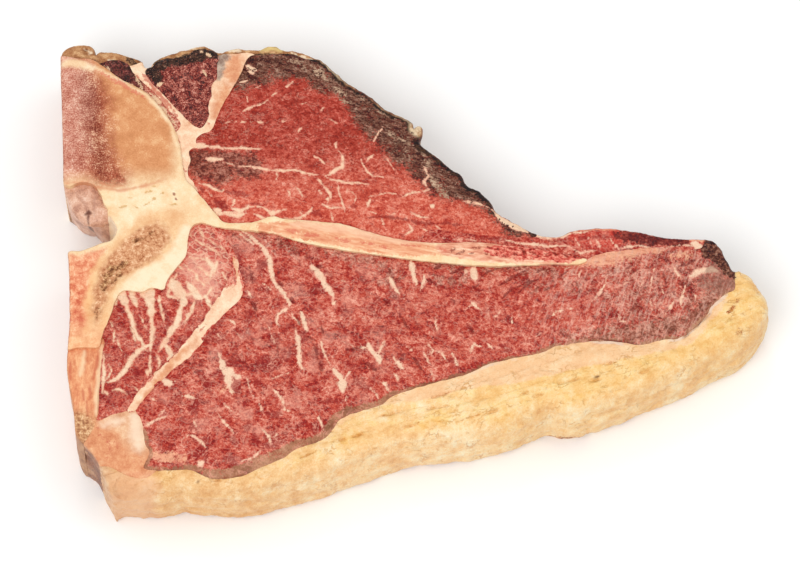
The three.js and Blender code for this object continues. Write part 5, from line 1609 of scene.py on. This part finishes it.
# marks along the foot of the side where it meets the floor, laid in the browned colours: partly browning and
# partly painted shade
CAP_FOOT = [
    (2.4, -12, 70.4, 20, -1.2, 16, 1.2, 24, -1.2), (2, -44, 71, 20, 0), (5, 100, 68, 14, -4, 18, 4),
    (1.6, -208, 71, 48, -1.4, 40, 1.4, 40, -0.6), (1.4, 60, 71, 36, 0), (1.2, 140, 71, 28, -1),
]
foot = np.column_stack([cap.points[:, 0], cap.depth])
cap.masks["browned"] = np.maximum(strokes(at, CAP_BROWNED, 1.0, 1.2) * soft_step(cap.depth, 16, 6),
                                  strokes(foot, CAP_FOOT, 1.2, 1.0) * (at[:, 1] < -20))
yellow = np.maximum(strokes(at, CAP_DEEP_YELLOW, 3, 2.5), soft_step(at[:, 0], 96, 112) * 0.6)
golden = 0.62 * soft_step(at[:, 0], -2, 48)
cap.masks["yellow"] = np.maximum(yellow, golden * (1 - 0.5 * cap.wall))
film = soft_step(1.1 + 0.7 * rough(at, 5, 185) - cap.edge_gap, -0.4, 0.4) * soft_step(cap.rim_gap, 2, 4)
cap.masks.update(
    film=film * soft_step(at[:, 0], 0, 45) * soft_step(rough(at, 14, 187), -0.35, 0.3),
    # wall: where the fat's side takes its lighter colour, painted light; less of it towards the tail
    wall=cap.wall * (1 - 0.4 * soft_step(at[:, 0], 15, 40)),
    tan=soft_step(-at[:, 0] + 6 * rough(at, 12, 181), 10, 75),
    end=soft_step(-at[:, 0] + 1.5 * rough(cap.points, 4, 183), 107, 113))
cap_look, f = new_finish("cap_look")
grain = f.use(tissue, Place=f.place(along=1.3, turn=19, down=1.8), Patch=3.2, Contrast=1.1)
broad = f.use(tissue, Place=f.place(down=1.5), Patch=12.0, Contrast=1.1)
torn = f.use(frays, Place=f.place(along=1.5, turn=19, down=1.8))
tone = f.sum(f.times(grain["Tone"], 0.5), f.times(broad["Tone"], 0.5))
f.shade = f.shades(tone, "15 e8b070, 40 f7ca8d, 58 fddcaa, 80 feeecb")
f.lay("yellow", f.shades(tone, "20 e6a94e, 50 f4c16c, 80 fdda96"), 0.75)
curds = f.step(torn["Cloud"], 0.5, 0.66)
f.lay(f.times(curds, f.less(0.6, f.times(f.mask("wall"), 0.35))),
      f.shades(grain["Grit"], "30 f6cb78, 60 ffe3a8"))
peach = f.shades(tone, "20 f0bb8b, 50 f8cb9d, 80 fde0b8")
f.lay(frayed(f, "peach", torn["Fray"], 0.1, 0.8, 0.4), peach, 0.9)
# painted light: the side is laid in lighter shades than the top, making up for the lesser light that reaches
# it
side = f.shades(tone, "15 dd9c66, 38 f4c088, 56 fdd9a5, 80 fff2d0")
f.lay("wall", side, 0.75)
f.lay("tan", f.shades(tone, "20 cf9258, 42 e4ac72, 60 f2c48c, 80 fbdcb0"), 0.7)
f.lay("pink", "e8b18c", 0.6)
f.lay(frayed(f, "film", torn["Fray"], 0.2, 0.9, 0.4), "ecd3bf", 0.75)
layers = f.shades(f.noise(f.place(down=1.3), 2.2, 4.0), "34 bd8a64, 50 deb088, 66 f6dab4")
f.lay("end", layers, 0.7)
# partly painted shade: orange brown in the creases
f.lay(frayed(f, "crease", torn["Fray"], 0.2, 0.9, 0.6), "cc8a48", 0.7)
# browned patches; along the foot of the side partly painted shade
browned = f.shades(torn["Speck"], "35 8a4420, 50 bd7440, 65 e3a872")
f.lay(frayed(f, "browned", torn["Fray"], 0.35, 1.0), browned)
f.lay("spot", "5a2a1c", 0.9)
# the fine cracks laid darker orange, partly painted shade in them
crack = f.times(torn["Thread"], f.step(broad["Tone"], 0.4, 0.65, 0.15, 0.6))
f.lay(crack, f.shades(f.mask("wall"), "20 e0a050, 80 dc9a60"))
height = f.sum(grain["Height"], f.sum(f.times(broad["Height"], 0.4), f.times(torn["Cloud"], 0.9)))
height = f.less(height, f.times(crack, 0.3))
give(cap_look, f.shade, f.step(grain["Grit"], 0.3, 0.7, 0.36, 0.56), height, 0.9, 0.1)
cap.finish(cap_look)

# ---- crumbs of dried crust ----
# Dry flakes of meat that came loose from the dark crusts and lie stuck to them: small flattened lumps,
# each turned its own way and sunk a little into the crust.
crusts = []
for piece, mask in ((fillet, "crust"), (psoas, "crust"), (loin, "knob")):
    dark = (piece.masks[mask] > 0.7) & (piece.depth < 2) & (piece.rim_gap > 1.8)
    dark_faces = [face for face in piece.faces if len(face) == 3 and dark[list(face)].all()]
    crusts.append((piece.points * MM, dark_faces))
bed_points = np.concatenate([points for points, _ in crusts])
starts = np.cumsum([0] + [len(points) for points, _ in crusts])
bed_faces = [tuple(i + int(start) for i in face)
             for start, (_, faces) in zip(starts, crusts) for face in faces]
bed_mesh = bpy.data.meshes.new("crumb_bed")
bed_mesh.from_pydata([tuple(p) for p in bed_points], [], bed_faces)
bed = bpy.data.objects.new("crumb_bed", bed_mesh)
bpy.context.scene.collection.objects.link(bed)

scatter = bpy.data.node_groups.new("crumb_scatter", "GeometryNodeTree")
scatter.interface.new_socket("Bed", in_out="INPUT", socket_type="NodeSocketGeometry")
for label, kind in (("Crumbs per Area", "Float"), ("Seed", "Int"), ("Smallest", "Float"),
                    ("Largest", "Float"), ("Crumb Material", "Material")):
    scatter.interface.new_socket(label, in_out="INPUT", socket_type="NodeSocket" + kind)
scatter.interface.new_socket("Crumbs", in_out="OUTPUT", socket_type="NodeSocketGeometry")


def scatter_node(kind, given=(), **settings):
    return add_node(scatter, kind, given, **settings)


entry = scatter.nodes.new("NodeGroupInput").outputs
strewn = scatter_node("GeometryNodeDistributePointsOnFaces", {
    "Mesh": entry["Bed"], "Density": entry["Crumbs per Area"], "Seed": entry["Seed"]})
lump = scatter_node("GeometryNodeMeshIcoSphere", {"Radius": 1.0, "Subdivisions": 1})["Mesh"]
flat_lump = scatter_node("GeometryNodeTransform", {"Geometry": lump, "Scale": (1.0, 0.6, 0.42)})["Geometry"]
turns = {0: (-0.5, -0.5, 0.0), 1: (0.5, 0.5, 6.28), "Seed": entry["Seed"]}
turn = scatter_node("FunctionNodeRandomValue", turns, data_type="FLOAT_VECTOR")[0]
radii = {2: entry["Smallest"], 3: entry["Largest"], "Seed": entry["Seed"]}
size = scatter_node("FunctionNodeRandomValue", radii, data_type="FLOAT")[1]
placed = scatter_node("GeometryNodeInstanceOnPoints", {
    "Points": strewn["Points"], "Instance": flat_lump, "Rotation": turn, "Scale": size})["Instances"]
real = scatter_node("GeometryNodeRealizeInstances", {"Geometry": placed})["Geometry"]
dent = scatter_node("ShaderNodeTexNoise", {"Scale": 1800.0}, noise_dimensions="3D")["Color"]
push = scatter_node("ShaderNodeVectorMath", {0: dent, 1: (0.5, 0.5, 0.5)}, operation="SUBTRACT")[0]
shift = scatter_node("ShaderNodeVectorMath", {0: push, "Scale": 0.45 * MM}, operation="SCALE")[0]
bent = scatter_node("GeometryNodeSetPosition", {"Geometry": real, "Offset": shift})["Geometry"]
dressed = scatter_node("GeometryNodeSetMaterial", {"Geometry": bent, "Material": entry["Crumb Material"]})
scatter.links.new(dressed["Geometry"], scatter.nodes.new("NodeGroupOutput").inputs["Crumbs"])

crumb_look, f = new_finish("crumb_look")
crust = f.use(dried, Place=f.place())
f.shade = f.shades(crust["Tone"], "36 1c0d09, 46 4b2a1f, 55 80594a, 66 c4a08a")
give(crumb_look, f.shade, f.step(crust["Tone"], 0.3, 0.7, 0.35, 0.55), crust["Height"], 0.4, 0.1)
modifier = bed.modifiers.new("crumbs", "NODES")
modifier.node_group = scatter
wanted = {"Crumbs per Area": 0.5e6, "Seed": 7, "Smallest": 0.28 * MM, "Largest": 0.62 * MM,
          "Crumb Material": crumb_look}
for item in scatter.interface.items_tree:
    if item.in_out == "INPUT" and item.name in wanted:
        modifier[item.identifier] = wanted[item.name]
bed.update_tag()
crumb_mesh = bpy.data.meshes.new_from_object(bed.evaluated_get(bpy.context.evaluated_depsgraph_get()))
bed.modifiers.remove(modifier)
bpy.data.objects.remove(bed)
crumbs = bpy.data.objects.new("crust_crumbs_look", crumb_mesh)
bpy.context.scene.collection.objects.link(crumbs)
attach(crumbs, "root")
